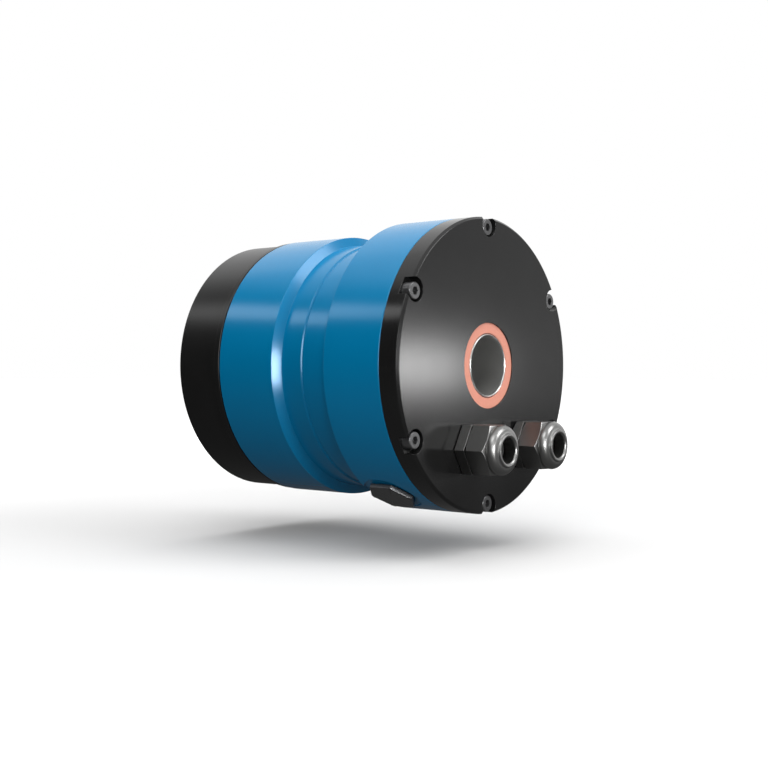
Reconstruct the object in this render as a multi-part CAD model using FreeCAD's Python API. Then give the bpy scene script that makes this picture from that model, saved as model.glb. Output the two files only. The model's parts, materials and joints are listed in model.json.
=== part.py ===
import FreeCAD, Part
import math
import os

# Hollow-shaft servo joint actuator with a strain wave gear.
# The shaft line is X. X is 0 on the output mounting face and grows towards the rear cover.
# Y and Z lie in that face, Z up. All lengths are in millimetres and all angles in degrees.

# ---- Lengths along the shaft line, from the output face to the cover face ----
ring_length = 23.6
lip_length = 2.8
face_gap = 0.5
front_drum_length = 31.4
ramp_length = 2.3
front_neck_length = 11.2
rear_neck_length = 18.7
rear_drum_length = 28.8
cover_thickness = 9.3

# ---- Outside form, stepped out from the neck ----
neck_radius = 54.0
rear_neck_step = 0.6
front_drum_step = 4.0
rear_drum_step = 8.0
lip_step = 0.2
ring_step = 1.2

# ---- General clearances ----
running_clearance = 0.05
fit_clearance = 0.05
thread_clearance = 0.05
guide_clearance = 0.3

# ---- Edge breaks ----
ring_chamfer = 0.6
lip_chamfer = 0.3
drum_chamfer = 0.5
neck_chamfer = 0.6
rim_chamfer = 0.4
cover_chamfer = 1.0

# ---- Through tube and its seal ----
tube_bore_radius = 12.5
tube_wall = 0.8
tube_end_recess = 0.3
tube_end_chamfer = 0.3
tube_collar_width = 7.7
tube_collar_thickness = 3.0
tube_screw_inset = 3.5
tube_screw_count = 4
tube_screw_length = 7.0
seal_inner_gap = 0.25
seal_radial_width = 4.4
seal_length = 7.1
seal_fit_gap = 0.01
seal_face_recess = 0.5
seal_shoulder_width = 3.0

# ---- Output flange ----
pilot_radius = 31.5
pilot_depth = 3.0
flange_thickness = 15.0
skirt_gap = 0.6
tube_bore_gap = 0.1
output_bolt_circle = 45.0
output_bolt_count = 12
output_bolt_radius = 2.5
output_bolt_depth = 11.0
dowel_radius = 2.0
dowel_depth = 8.0
dowel_angle = 15.0
skirt_wall = 3.2
inner_boss_wall = 1.0
inner_boss_length = 1.5

# ---- Main crossed roller bearing ----
bearing_width = 14.0
outer_ring_height = 7.0
inner_ring_height = 9.0
roller_diameter = 6.0
roller_length = 5.8
roller_count = 30
roller_clearance = 0.03
ring_half_gap = 0.3
lock_ring_thickness = 3.5
lock_ring_height = 4.5
retainer_thickness = 5.7
seal_land_step = 2.0
oil_seal_radial_width = 4.45
oil_seal_width = 5.0

# ---- Front housing ----
nose_wall = 4.0
bearing_shoulder_step = 4.0
gear_seat_step = 8.0
gear_seat_length = 10.5
spigot_step = 5.5
spigot_length = 2.3
spigot_wall = 1.8
register_relief = 0.2

# ---- Strain wave gear ----
flexspline_teeth = 100
circular_teeth = 102
tooth_addendum = 0.42
tooth_dedendum = 0.55
tooth_flank_angle = 25.0
tooth_backlash = 0.06
spline_spigot_gap = 0.7
circular_ring_height = 10.75
circular_width = 14.0
circular_setback = 1.3
circular_screw_inset = 5.0
circular_screw_count = 8
circular_screw_length = 18.0
gear_face_inset = 2.0
flexspline_rim_wall = 0.9
cup_wall = 0.5
cup_bottom_thickness = 0.8
cup_boss_width = 9.7
cup_boss_thickness = 5.0
cup_bore_gap = 0.3
cup_screw_inset = 4.7
cup_screw_count = 8
cup_root_drop = 0.5
cup_screw_length = 12.0
cup_washer_thickness = 1.5

# ---- Wave generator ----
wave_bearing_width = 7.0
wave_fit_gap = 0.01
wave_outer_ring_wall = 1.4
wave_ball_diameter = 3.4
wave_ball_count = 17
wave_inner_ring_wall = 1.4
cam_width = 8.0
shaft_lead = 1.0

# ---- Rotor and motor ----
shaft_bore_gap = 1.0
shaft_wall = 3.2
motor_bearing_height = 6.0
motor_bearing_width = 7.0
motor_bearing_ring_wall = 1.9
motor_ball_diameter = 3.4
motor_ball_count = 9
bearing_shoulder_height = 2.0
bearing_shoulder_width = 1.0
motor_seal_width = 3.0
web_thickness = 4.0
hub_wall = 4.0
stator_bore_radius = 31.0
stator_gap = 8.2
stator_slots = 18
slot_liner = 0.4
coil_yoke_gap = 0.6
coil_end_gap = 2.5
tooth_width = 5.0
tooth_head_width = 8.4
tooth_head_height = 1.8
stator_yoke = 4.0
coil_thickness = 1.9
coil_overhang = 3.5
magnet_thickness = 2.4
air_gap = 0.6
magnet_poles = 16
magnet_arc = 19.0
back_iron_wall = 3.5
rotor_hub_wall = 3.5
rotor_web_thickness = 3.0

# ---- Rear housing inside ----
stator_screw_gap = 3.0
plate_rim = 2.6
plate_thickness = 4.0
plate_hub_lip = 0.8
relief_wall = 4.5
relief_length = 7.3
joint_screw_inset = 2.9
joint_screw_count = 8
joint_screw_depth = 8.0
joint_sink_clearance = 0.1
plate_screw_count = 4
plate_screw_angle = 22.5
plate_screw_length = 10.0
o_ring_section = 1.3
joint_o_ring_step = 1.5
cover_o_ring_inset = 7.7

# ---- Brake ----
brake_gap = 0.5
brake_disc_thickness = 2.0
brake_disc_radius = 31.0
armature_gap = 0.2
armature_thickness = 1.5
brake_shaft_gap = 2.5
armature_radius = 34.2
armature_travel_gap = 0.3
brake_body_length = 4.5
brake_flange_thickness = 1.7
brake_flange_radius = 39.0
brake_body_radius = 33.0
brake_post_radius = 2.5
brake_post_circle = 36.0
brake_post_count = 3
brake_post_angle = 90.0

# ---- Boards and encoders ----
board_thickness = 1.6
drive_board_gap = 1.1
drive_board_width = 11.0
drive_board_height = 7.0
standoff_radius = 2.5
standoff_inset = 5.0
standoff_count = 4
standoff_angle = 45.0
encoder_ring_gap = 0.3
encoder_ring_width = 1.7
encoder_ring_wall = 4.5
encoder_board_width = 11.2
encoder_board_bore_gap = 2.5
encoder_board_height = 2.6
encoder_cover_gap = 0.3
encoder_post_inset = 2.0
encoder_post_count = 3
encoder_post_angle = 30.0
encoder_post_radius = 1.6
output_magnet_wall = 1.7
output_magnet_width = 2.2

# ---- Cover ----
cover_web = 5.3
cover_pocket_inset = 10.5
cover_hub_wall = 4.05
cover_screw_inset = 4.15
cover_screw_count = 6
cover_screw_angle = 30.0
cover_screw_length = 14.0
cover_screw_sink = 0.75
notch_inset = 3.3
notch_radius = 4.9

# ---- Socket head cap screws, M3 and M4 ----
small_screw = 3.0
small_head_diameter = 5.5
small_head_height = 3.0
small_key = 2.5
large_screw = 4.0
large_head_diameter = 7.0
large_head_height = 4.0
large_key = 3.0
screw_edge = 0.5
head_clearance = 0.3
hole_clearance = 0.2
screw_end_gap = 1.0

# ---- Cable glands, M16 ----
near_gland_offset = 14.2
far_gland_offset = 25.0
gland_drop = 34.0
gland_flats = 20.0
gland_thread_radius = 8.0
gland_bore_radius = 6.0
gland_gasket_gap = 0.4
gland_gasket_section = 1.2
gland_body_hex = 4.6
gland_seam = 0.2
gland_nut_hex = 9.3
gland_groove = 0.5
gland_groove_radius = 9.7
gland_dome_radius = 10.2
gland_lip_radius = 7.0
gland_lip_length = 0.9
gland_nose = 4.3
gland_mouth_radius = 5.15
gland_hex_chamfer_angle = 30.0
gland_collar_radius = 8.2
gland_collar_length = 8.5
gland_insert_radius = 7.3
gland_insert_bore = 4.6
gland_insert_length = 9.0
gland_tail_overhang = 1.2

# ---- Service plug, in the underside of the rear drum ----
plug_angle = 240.0
plug_setback = 17.8
plug_flats = 18.4
plug_seat_depth = 1.4
plug_spot_radius = 12.5
plug_gasket_thickness = 0.4
plug_head_height = 2.0
plug_head_chamfer = 0.5
plug_thread_radius = 6.0
plug_thread_length = 5.0
plug_drill_depth = 6.1

# ---- Radii that follow, from the outside in ----
front_drum_radius = neck_radius + front_drum_step
rear_drum_radius = neck_radius + rear_drum_step
rear_neck_radius = neck_radius - rear_neck_step
lip_radius = front_drum_radius - lip_step
ring_radius = front_drum_radius - ring_step
skirt_radius = ring_radius - skirt_wall
nose_radius = skirt_radius - skirt_gap
bearing_outer_radius = nose_radius - nose_wall
roller_circle = bearing_outer_radius - outer_ring_height
bearing_bore_radius = roller_circle - inner_ring_height
lock_ring_radius = bearing_bore_radius + lock_ring_height
seal_land_radius = roller_circle - seal_land_step

joint_screw_circle = rear_neck_radius - joint_screw_inset
spigot_radius = joint_screw_circle - spigot_step
joint_o_ring_radius = spigot_radius + joint_o_ring_step
circular_outer_radius = spigot_radius - spigot_wall - spline_spigot_gap
gear_seat_radius = circular_outer_radius - gear_seat_step
circular_screw_circle = circular_outer_radius - circular_screw_inset
stator_radius = joint_screw_circle - stator_screw_gap
plate_radius = joint_screw_circle + plate_rim
relief_radius = rear_drum_radius - relief_wall
drive_board_radius = plate_radius - drive_board_gap
standoff_circle = drive_board_radius - standoff_inset
cover_o_ring_radius = rear_drum_radius - cover_o_ring_inset
cover_pocket_radius = rear_drum_radius - cover_pocket_inset
cover_screw_circle = rear_drum_radius - cover_screw_inset
notch_circle = rear_drum_radius - notch_inset

flex_pitch_radius = circular_outer_radius - circular_ring_height
gear_module = 2 * flex_pitch_radius / flexspline_teeth
circular_pitch_radius = gear_module * circular_teeth / 2
wave_swing = circular_pitch_radius - flex_pitch_radius
rim_inner_radius = flex_pitch_radius - tooth_dedendum - flexspline_rim_wall
cup_outer_radius = rim_inner_radius + cup_wall
wave_outer_radius = rim_inner_radius - wave_fit_gap
wave_outer_inner_radius = rim_inner_radius - wave_outer_ring_wall
wave_ball_circle = wave_outer_inner_radius - running_clearance - wave_ball_diameter / 2
wave_inner_outer_radius = wave_ball_circle - wave_ball_diameter / 2 - running_clearance
cam_radius = wave_inner_outer_radius - wave_inner_ring_wall

# ---- Radii that follow, from the through tube out ----
tube_radius = tube_bore_radius + tube_wall
tube_collar_radius = tube_radius + tube_collar_width
tube_screw_circle = tube_collar_radius - tube_screw_inset
cup_boss_radius = tube_radius + cup_boss_width
cup_screw_circle = cup_boss_radius - cup_screw_inset
inner_boss_radius = cup_boss_radius + inner_boss_wall
shaft_bore_radius = tube_radius + shaft_bore_gap
shaft_radius = shaft_bore_radius + shaft_wall
motor_bearing_outer_radius = shaft_radius + motor_bearing_height
motor_ball_circle = (shaft_radius + motor_bearing_outer_radius) / 2
hub_radius = motor_bearing_outer_radius + hub_wall
brake_bore_radius = shaft_radius + brake_shaft_gap
encoder_board_bore_radius = tube_radius + encoder_board_bore_gap
encoder_board_radius = encoder_board_bore_radius + encoder_board_width
encoder_post_circle = encoder_board_radius - encoder_post_inset
seal_inner_radius = tube_radius + seal_inner_gap
seal_outer_radius = seal_inner_radius + seal_radial_width
cover_hub_radius = seal_outer_radius + cover_hub_wall
magnet_outer_radius = stator_bore_radius - air_gap
back_iron_radius = magnet_outer_radius - magnet_thickness

# ---- Stations along X that follow from the lengths ----
x_lip = ring_length
x_lip_end = x_lip + lip_length
x_front = x_lip_end + face_gap
x_ramp = x_front + front_drum_length
x_neck = x_ramp + ramp_length
x_split = x_neck + front_neck_length
x_shoulder = x_split + rear_neck_length
x_seam = x_shoulder + rear_drum_length
x_face = x_seam + cover_thickness
x_web = x_face - cover_web
x_notch_floor = x_face - cover_screw_sink - large_head_height

x_nose = flange_thickness + guide_clearance + face_gap
x_bearing = x_nose + retainer_thickness
x_bearing_end = x_bearing + bearing_width
x_lock_end = x_bearing_end + lock_ring_thickness
x_cup = x_lock_end + inner_boss_length
x_cup_floor = x_cup + cup_boss_thickness - cup_root_drop
x_circular_end = x_split - circular_setback
x_circular = x_circular_end - circular_width
x_circular_seat = x_circular_end - large_head_height - head_clearance
x_gear_seat = x_circular - gear_seat_length
x_teeth = x_circular + gear_face_inset
x_teeth_end = x_circular_end - face_gap
x_register = x_split - spigot_length - register_relief
x_wave = (x_teeth + x_teeth_end) / 2
x_shaft = x_wave - cam_width / 2 - shaft_lead

x_encoder_board = x_seam - encoder_cover_gap - board_thickness
x_brake_end = x_encoder_board - encoder_board_height
x_encoder = x_brake_end + encoder_ring_gap
x_shaft_end = x_encoder + encoder_ring_width
x_brake = x_brake_end - brake_body_length
x_armature = x_brake - armature_travel_gap - armature_thickness
x_disc = x_armature - armature_gap - brake_disc_thickness
x_plate_hub_end = x_disc - brake_gap
x_plate_end = x_plate_hub_end - plate_hub_lip
x_ledge = x_plate_end - plate_thickness
x_joint_seat = x_ledge - small_head_height - head_clearance
x_drive_board = x_plate_end + drive_board_height
x_rear_ball_end = x_plate_hub_end - bearing_shoulder_width
x_rear_ball = x_rear_ball_end - motor_bearing_width

x_motor_seal = x_split + register_relief
x_front_ball = x_motor_seal + motor_seal_width + guide_clearance
x_front_ball_end = x_front_ball + motor_bearing_width
x_hub_end = x_front_ball_end + bearing_shoulder_width
x_stator = x_split + web_thickness + stator_gap
x_stator_end = x_ledge - coil_end_gap - coil_overhang
stator_length = x_stator_end - x_stator

plug_station = x_seam - plug_setback
GLAND_PLACES = [(-near_gland_offset, -gland_drop), (far_gland_offset, -gland_drop)]

AXIS = FreeCAD.Vector(1, 0, 0)
ORIGIN = FreeCAD.Vector(0, 0, 0)


# ---- Shapes that many pieces share ----

def turned(points, y=0.0, z=0.0):
    """Turn (x, radius) points about a line along X through (y, z)."""
    corners = [FreeCAD.Vector(x, radius, 0) for x, radius in points]
    outline = Part.makePolygon(corners + corners[:1])
    shape = Part.Face(outline).revolve(ORIGIN, AXIS, 360)
    shape.translate(FreeCAD.Vector(0, y, z))
    return shape


def ring(start, end, inner, outer):
    """Plain ring about the shaft line."""
    return turned([(start, inner), (end, inner), (end, outer), (start, outer)])


def rod(start, end, radius, y=0.0, z=0.0):
    """Solid round bar along X."""
    return Part.makeCylinder(radius, end - start, FreeCAD.Vector(start, y, z), AXIS)


def on_circle(count, radius, first=0.0):
    """Places (y, z) evenly round the shaft line, the first at the given angle."""
    angles = [math.radians(first + 360.0 * index / count) for index in range(count)]
    return [(radius * math.cos(angle), radius * math.sin(angle)) for angle in angles]


def rods(start, end, radius, places):
    """Bars along X at several places, to cut a pattern of holes."""
    return [rod(start, end, radius, y, z) for y, z in places]


def hex_bar(start, end, flats, y=0.0, z=0.0):
    """Hexagonal bar along X with two flats facing up and down."""
    corner = flats / math.sqrt(3)
    places = on_circle(6, corner)
    points = [FreeCAD.Vector(start, y + dy, z + dz) for dy, dz in places]
    outline = Part.makePolygon(points + points[:1])
    return Part.Face(outline).extrude(FreeCAD.Vector(end - start, 0, 0))


def nut_bar(start, end, flats, y, z, chamfer_start=True, chamfer_end=True):
    """Hexagonal bar whose corners are turned down at its ends, as on a nut."""
    corner = flats / math.sqrt(3) + 0.01
    face = flats / 2
    drop = (corner - face) * math.tan(math.radians(gland_hex_chamfer_angle))
    outline = [(start, 0)]
    if chamfer_start:
        outline += [(start, face), (start + drop, corner)]
    else:
        outline += [(start, corner)]
    if chamfer_end:
        outline += [(end - drop, corner), (end, face)]
    else:
        outline += [(end, corner)]
    outline += [(end, 0)]
    return hex_bar(start, end, flats, y, z).common(turned(outline, y, z))


def cap_screw(diameter, head_diameter, head_height, key, seat, length, y, z):
    """Socket head cap screw: its head stands on the seat and faces the cover."""
    top = seat + head_height
    head = turned([
        (seat, 0),
        (seat, head_diameter / 2),
        (top - screw_edge, head_diameter / 2),
        (top, head_diameter / 2 - screw_edge),
        (top, 0),
    ], y, z)
    socket = hex_bar(seat + head_height / 2, top + 1, key, y, z)
    shank = rod(seat - length, seat, diameter / 2 - thread_clearance, y, z)
    return head.cut(socket).fuse(shank)


def small_screws(seat, length, places):
    """M3 screws on one seat."""
    sizes = (small_screw, small_head_diameter, small_head_height, small_key)
    return [cap_screw(*sizes, seat, length, y, z) for y, z in places]


def large_screws(seat, length, places):
    """M4 screws on one seat."""
    sizes = (large_screw, large_head_diameter, large_head_height, large_key)
    return [cap_screw(*sizes, seat, length, y, z) for y, z in places]


def oval(station, radius):
    """Closed curve at a station: a circle swung out along Y and in along Z by the wave."""
    return swung(station, radius, wave_swing)


def swung(station, radius, swing, count=32):
    """Closed curve whose radius is swung out along Y and in along Z."""
    points = []
    for index in range(count):
        angle = 2 * math.pi * index / count
        reach = radius + swing * math.cos(2 * angle)
        points.append(FreeCAD.Vector(station, reach * math.cos(angle), reach * math.sin(angle)))
    curve = Part.BSplineCurve()
    curve.interpolate(Points=points, PeriodicFlag=True)
    return Part.Wire([curve.toShape()])


def oval_bar(start, end, radius):
    """Solid bar with the wave generator's oval outline."""
    return Part.Face(oval(start, radius)).extrude(FreeCAD.Vector(end - start, 0, 0))


def oval_ring(start, end, inner, outer):
    """Ring with the wave generator's oval outline inside and out."""
    return oval_bar(start, end, outer).cut(oval_bar(start, end, inner))


# ---- Output side: the black flange, its tube and what turns with them ----

def make_output_flange():
    body = turned([
        (pilot_depth + tube_collar_thickness, tube_radius + tube_bore_gap),
        (pilot_depth + tube_collar_thickness, tube_collar_radius + fit_clearance),
        (pilot_depth, tube_collar_radius + fit_clearance),
        (pilot_depth, pilot_radius),
        (0, pilot_radius),
        (0, ring_radius - ring_chamfer),
        (ring_chamfer, ring_radius),
        (x_lip, ring_radius),
        (x_lip, lip_radius),
        (x_lip_end - lip_chamfer, lip_radius),
        (x_lip_end, lip_radius - lip_chamfer),
        (x_lip_end, skirt_radius),
        (flange_thickness, skirt_radius),
        (flange_thickness, seal_land_radius),
        (x_bearing, seal_land_radius),
        (x_bearing, bearing_bore_radius),
        (x_lock_end, bearing_bore_radius),
        (x_lock_end, inner_boss_radius),
        (x_cup, inner_boss_radius),
        (x_cup, tube_radius + tube_bore_gap),
    ])
    holes = rods(-1, output_bolt_depth, output_bolt_radius, on_circle(output_bolt_count, output_bolt_circle))
    holes += rods(-1, dowel_depth, dowel_radius, on_circle(2, output_bolt_circle, dowel_angle))
    collar_floor = pilot_depth + tube_collar_thickness
    holes += rods(
        collar_floor - 1, collar_floor + tube_screw_length, small_screw / 2,
        on_circle(tube_screw_count, tube_screw_circle, 45),
    )
    cup_places = on_circle(cup_screw_count, cup_screw_circle)
    holes += rods(x_cup - cup_screw_length, x_cup + 1, large_screw / 2, cup_places)
    return body.cut(holes)


def make_through_tube():
    end = x_face - tube_end_recess
    collar = pilot_depth + tube_collar_thickness
    body = turned([
        (pilot_depth + tube_end_chamfer, tube_bore_radius),
        (end - tube_end_chamfer, tube_bore_radius),
        (end, tube_bore_radius + tube_end_chamfer),
        (end, tube_radius - tube_end_chamfer),
        (end - tube_end_chamfer, tube_radius),
        (collar, tube_radius),
        (collar, tube_collar_radius),
        (pilot_depth, tube_collar_radius),
        (pilot_depth, tube_bore_radius + tube_end_chamfer),
    ])
    places = on_circle(tube_screw_count, tube_screw_circle, 45)
    return body.cut(rods(pilot_depth - 1, collar + 1, 1.5 + hole_clearance, places))


def make_tube_screws():
    """Countersunk screws: cone heads flush with the collar, shanks in the flange."""
    collar = pilot_depth + tube_collar_thickness
    screws = []
    for y, z in on_circle(tube_screw_count, tube_screw_circle, 45):
        shape = turned([
            (pilot_depth, 0),
            (pilot_depth, 1.5 + 1.2),
            (pilot_depth + 1.2, 1.5),
            (collar + tube_screw_length - 1, 1.5 - thread_clearance),
            (collar + tube_screw_length - 1, 0),
        ], y, z)
        screws.append(shape.cut(hex_bar(pilot_depth - 1, pilot_depth + 1, 2.0, y, z)))
    return screws


def countersink_tube(tube):
    """Cone seats in the tube's collar for its countersunk screws."""
    for y, z in on_circle(tube_screw_count, tube_screw_circle, 45):
        cone = turned([
            (pilot_depth - 0.5, 0),
            (pilot_depth - 0.5, 1.5 + 1.7),
            (pilot_depth + 1.25, 1.5 - 0.05),
            (pilot_depth + 1.25, 0),
        ], y, z)
        tube = tube.cut(cone)
    return tube


def race_groove(edge_radius, outward):
    """Points of the crossed rollers' V groove, from low X to high X."""
    side = roller_diameter + 2 * roller_clearance
    reach = side / math.sqrt(2)
    middle = (x_bearing + x_bearing_end) / 2
    half = reach - abs(edge_radius - roller_circle)
    apex = roller_circle + reach if outward else roller_circle - reach
    return [(middle - half, edge_radius), (middle, apex), (middle + half, edge_radius)]


def make_main_inner_ring():
    edge = roller_circle - ring_half_gap
    groove = race_groove(edge, False)
    return turned(
        [(x_bearing, bearing_bore_radius), (x_bearing, edge)] + groove
        + [(x_bearing_end, edge), (x_bearing_end, bearing_bore_radius)]
    )


def make_main_outer_ring():
    edge = roller_circle + ring_half_gap
    groove = race_groove(edge, True)
    return turned(
        [(x_bearing, bearing_outer_radius), (x_bearing, edge)] + groove
        + [(x_bearing_end, edge), (x_bearing_end, bearing_outer_radius)]
    )


def make_main_rollers():
    """Rollers crossed at 45 degrees, each one turned the other way from the last."""
    middle = (x_bearing + x_bearing_end) / 2
    rollers = []
    for index in range(roller_count):
        lean = 45.0 if index % 2 else -45.0
        roller = Part.makeCylinder(
            roller_diameter / 2, roller_length, FreeCAD.Vector(-roller_length / 2, 0, 0), AXIS
        )
        roller.rotate(ORIGIN, FreeCAD.Vector(0, 0, 1), lean)
        roller.translate(FreeCAD.Vector(middle, roller_circle, 0))
        roller.rotate(ORIGIN, AXIS, 360.0 * index / roller_count)
        rollers.append(roller)
    return rollers


def make_lock_ring():
    """Threaded ring on the hub that clamps the main bearing's inner ring."""
    return ring(x_bearing_end, x_lock_end, bearing_bore_radius, lock_ring_radius)


# ---- Strain wave gear ----

def tooth_points(pitch_radius, swing, angle, outward):
    """Four corners (y, z) of one tooth, moved and leaned as the wave bends its rim."""
    half_pitch = math.pi * gear_module / 4 - tooth_backlash / 2
    slope = math.tan(math.radians(tooth_flank_angle))
    tip_half = half_pitch - tooth_addendum * slope
    root_half = half_pitch + tooth_dedendum * slope
    reach = pitch_radius + swing * math.cos(2 * angle)
    shift = -swing / 2 * math.sin(2 * angle)
    lean = 1.5 * swing * math.sin(2 * angle) / pitch_radius
    place = angle + shift / pitch_radius
    heading = place + lean
    sign = 1 if outward else -1
    corners = [
        (-root_half, -tooth_dedendum * sign),
        (-tip_half, tooth_addendum * sign),
        (tip_half, tooth_addendum * sign),
        (root_half, -tooth_dedendum * sign),
    ]
    centre_y = reach * math.cos(place)
    centre_z = reach * math.sin(place)
    points = []
    for along, out in corners:
        y = centre_y + out * math.cos(heading) - along * math.sin(heading)
        z = centre_z + out * math.sin(heading) + along * math.cos(heading)
        points.append((y, z))
    return points


def toothed_bar(start, end, teeth, pitch_radius, swing, outward, first):
    """Solid bar whose outline is a full circle of teeth."""
    points = []
    for index in range(teeth):
        angle = 2 * math.pi * (index + first) / teeth
        points += tooth_points(pitch_radius, swing, angle, outward)
    corners = [FreeCAD.Vector(start, y, z) for y, z in points]
    outline = Part.makePolygon(corners + corners[:1])
    return Part.Face(outline).extrude(FreeCAD.Vector(end - start, 0, 0))


def make_flexspline():
    """Thin steel cup, toothed at its open end, bent to the wave generator's oval."""
    teeth = toothed_bar(
        x_teeth, x_teeth_end, flexspline_teeth, flex_pitch_radius, wave_swing, True, 0
    )
    rim = teeth.cut(oval_bar(x_teeth, x_teeth_end, rim_inner_radius))
    base = x_cup_floor - cup_bottom_thickness
    outer_ends = [swung(base, cup_outer_radius, 0), oval(x_teeth, cup_outer_radius)]
    outer = Part.makeLoft(outer_ends, True, True)
    inner_ends = [swung(x_cup_floor, rim_inner_radius, 0), oval(x_teeth, rim_inner_radius)]
    inner = Part.makeLoft(inner_ends, True, True)
    cup = outer.cut(inner)
    boss = rod(x_cup, x_cup + cup_boss_thickness, cup_boss_radius)
    cup = cup.fuse(boss).fuse(rim)
    cup = cup.cut(rod(x_cup - 1, x_cup + cup_boss_thickness + 1, tube_radius + cup_bore_gap))
    places = on_circle(cup_screw_count, cup_screw_circle)
    return cup.cut(rods(x_cup - 1, x_cup + cup_boss_thickness + 1, large_screw / 2 + hole_clearance, places))


def make_flexspline_washer():
    start = x_cup + cup_boss_thickness
    body = ring(start, start + cup_washer_thickness, tube_radius + cup_bore_gap, cup_boss_radius)
    places = on_circle(cup_screw_count, cup_screw_circle)
    holes = rods(start - 1, start + cup_washer_thickness + 1, large_screw / 2 + hole_clearance, places)
    return body.cut(holes)


def make_flexspline_screws():
    seat = x_cup + cup_boss_thickness + cup_washer_thickness
    grip = cup_boss_thickness + cup_washer_thickness + cup_screw_length - screw_end_gap
    return large_screws(seat, grip, on_circle(cup_screw_count, cup_screw_circle))


def make_circular_spline():
    """Rigid ring with two internal teeth more than the cup has."""
    body = rod(x_circular, x_circular_end, circular_outer_radius)
    body = body.cut(toothed_bar(
        x_circular, x_circular_end, circular_teeth, circular_pitch_radius, 0, False, 0.5
    ))
    places = on_circle(circular_screw_count, circular_screw_circle)
    holes = rods(x_circular - 1, x_circular_end + 1, large_screw / 2 + hole_clearance, places)
    sink = large_head_diameter / 2 + head_clearance
    holes += rods(x_circular_seat, x_circular_end + 1, sink, places)
    return body.cut(holes)


def make_circular_screws():
    places = on_circle(circular_screw_count, circular_screw_circle)
    return large_screws(x_circular_seat, circular_screw_length, places)


def make_wave_balls():
    """Balls spaced round the oval race."""
    balls = []
    for index in range(wave_ball_count):
        angle = 2 * math.pi * index / wave_ball_count
        reach = wave_ball_circle + wave_swing * math.cos(2 * angle)
        place = FreeCAD.Vector(x_wave, reach * math.cos(angle), reach * math.sin(angle))
        balls.append(Part.makeSphere(wave_ball_diameter / 2, place))
    return balls


def make_wave_outer_ring():
    half = wave_bearing_width / 2
    return oval_ring(x_wave - half, x_wave + half, wave_outer_inner_radius, wave_outer_radius)


def make_wave_inner_ring():
    half = wave_bearing_width / 2
    return oval_ring(x_wave - half, x_wave + half, cam_radius, wave_inner_outer_radius)


def make_cam():
    half = cam_width / 2
    body = oval_bar(x_wave - half, x_wave + half, cam_radius)
    return body.cut(rod(x_wave - half - 1, x_wave + half + 1, shaft_radius))


# ---- Rotor ----

def make_rotor_shaft():
    return ring(x_shaft, x_shaft_end, shaft_bore_radius, shaft_radius)


def make_rotor_core():
    hub_start = x_stator
    middle = (x_stator + x_stator_end) / 2
    half = rotor_web_thickness / 2
    hub = shaft_radius + rotor_hub_wall
    rim = back_iron_radius - back_iron_wall
    return turned([
        (hub_start, shaft_radius),
        (hub_start, hub),
        (middle - half, hub),
        (middle - half, rim),
        (x_stator, rim),
        (x_stator, back_iron_radius),
        (x_stator_end, back_iron_radius),
        (x_stator_end, rim),
        (middle + half, rim),
        (middle + half, hub),
        (x_stator_end, hub),
        (x_stator_end, shaft_radius),
    ])


def make_magnets():
    """Arc magnets, one for each pole, on the rotor's back iron."""
    magnets = []
    for index in range(magnet_poles):
        start = 360.0 * index / magnet_poles - magnet_arc / 2
        section = Part.makePolygon([
            FreeCAD.Vector(x_stator + 0.5, back_iron_radius, 0),
            FreeCAD.Vector(x_stator_end - 0.5, back_iron_radius, 0),
            FreeCAD.Vector(x_stator_end - 0.5, magnet_outer_radius, 0),
            FreeCAD.Vector(x_stator + 0.5, magnet_outer_radius, 0),
            FreeCAD.Vector(x_stator + 0.5, back_iron_radius, 0),
        ])
        magnet = Part.Face(section).revolve(ORIGIN, AXIS, magnet_arc)
        magnet.rotate(ORIGIN, AXIS, start)
        magnets.append(magnet)
    return magnets


def ball_race(start, inner, outer, groove_outward):
    """One ring of a ball bearing with a flat-bottomed groove for its balls."""
    end = start + motor_bearing_width
    middle = (start + end) / 2
    wide = 1.35
    narrow = 0.7
    if groove_outward:
        floor = motor_ball_circle + motor_ball_diameter / 2 + running_clearance
        groove = [(middle - wide, inner), (middle - narrow, floor), (middle + narrow, floor)]
        groove += [(middle + wide, inner)]
        return turned([(start, outer), (start, inner)] + groove + [(end, inner), (end, outer)])
    floor = motor_ball_circle - motor_ball_diameter / 2 - running_clearance
    groove = [(middle - wide, outer), (middle - narrow, floor), (middle + narrow, floor)]
    groove += [(middle + wide, outer)]
    return turned([(start, inner), (start, outer)] + groove + [(end, outer), (end, inner)])


def make_motor_inner_rings():
    outer = shaft_radius + motor_bearing_ring_wall
    return [ball_race(start, shaft_radius, outer, False) for start in (x_front_ball, x_rear_ball)]


def make_motor_outer_rings():
    inner = motor_bearing_outer_radius - motor_bearing_ring_wall
    outer = motor_bearing_outer_radius
    return [ball_race(start, inner, outer, True) for start in (x_front_ball, x_rear_ball)]


def make_motor_balls():
    balls = []
    for start in (x_front_ball, x_rear_ball):
        for y, z in on_circle(motor_ball_count, motor_ball_circle):
            place = FreeCAD.Vector(start + motor_bearing_width / 2, y, z)
            balls.append(Part.makeSphere(motor_ball_diameter / 2, place))
    return balls


def make_brake_disc():
    return ring(x_disc, x_disc + brake_disc_thickness, shaft_radius, brake_disc_radius)


def make_rotor_encoder_ring():
    return ring(x_encoder, x_shaft_end, shaft_radius, shaft_radius + encoder_ring_wall)


# ---- Stator ----

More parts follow.
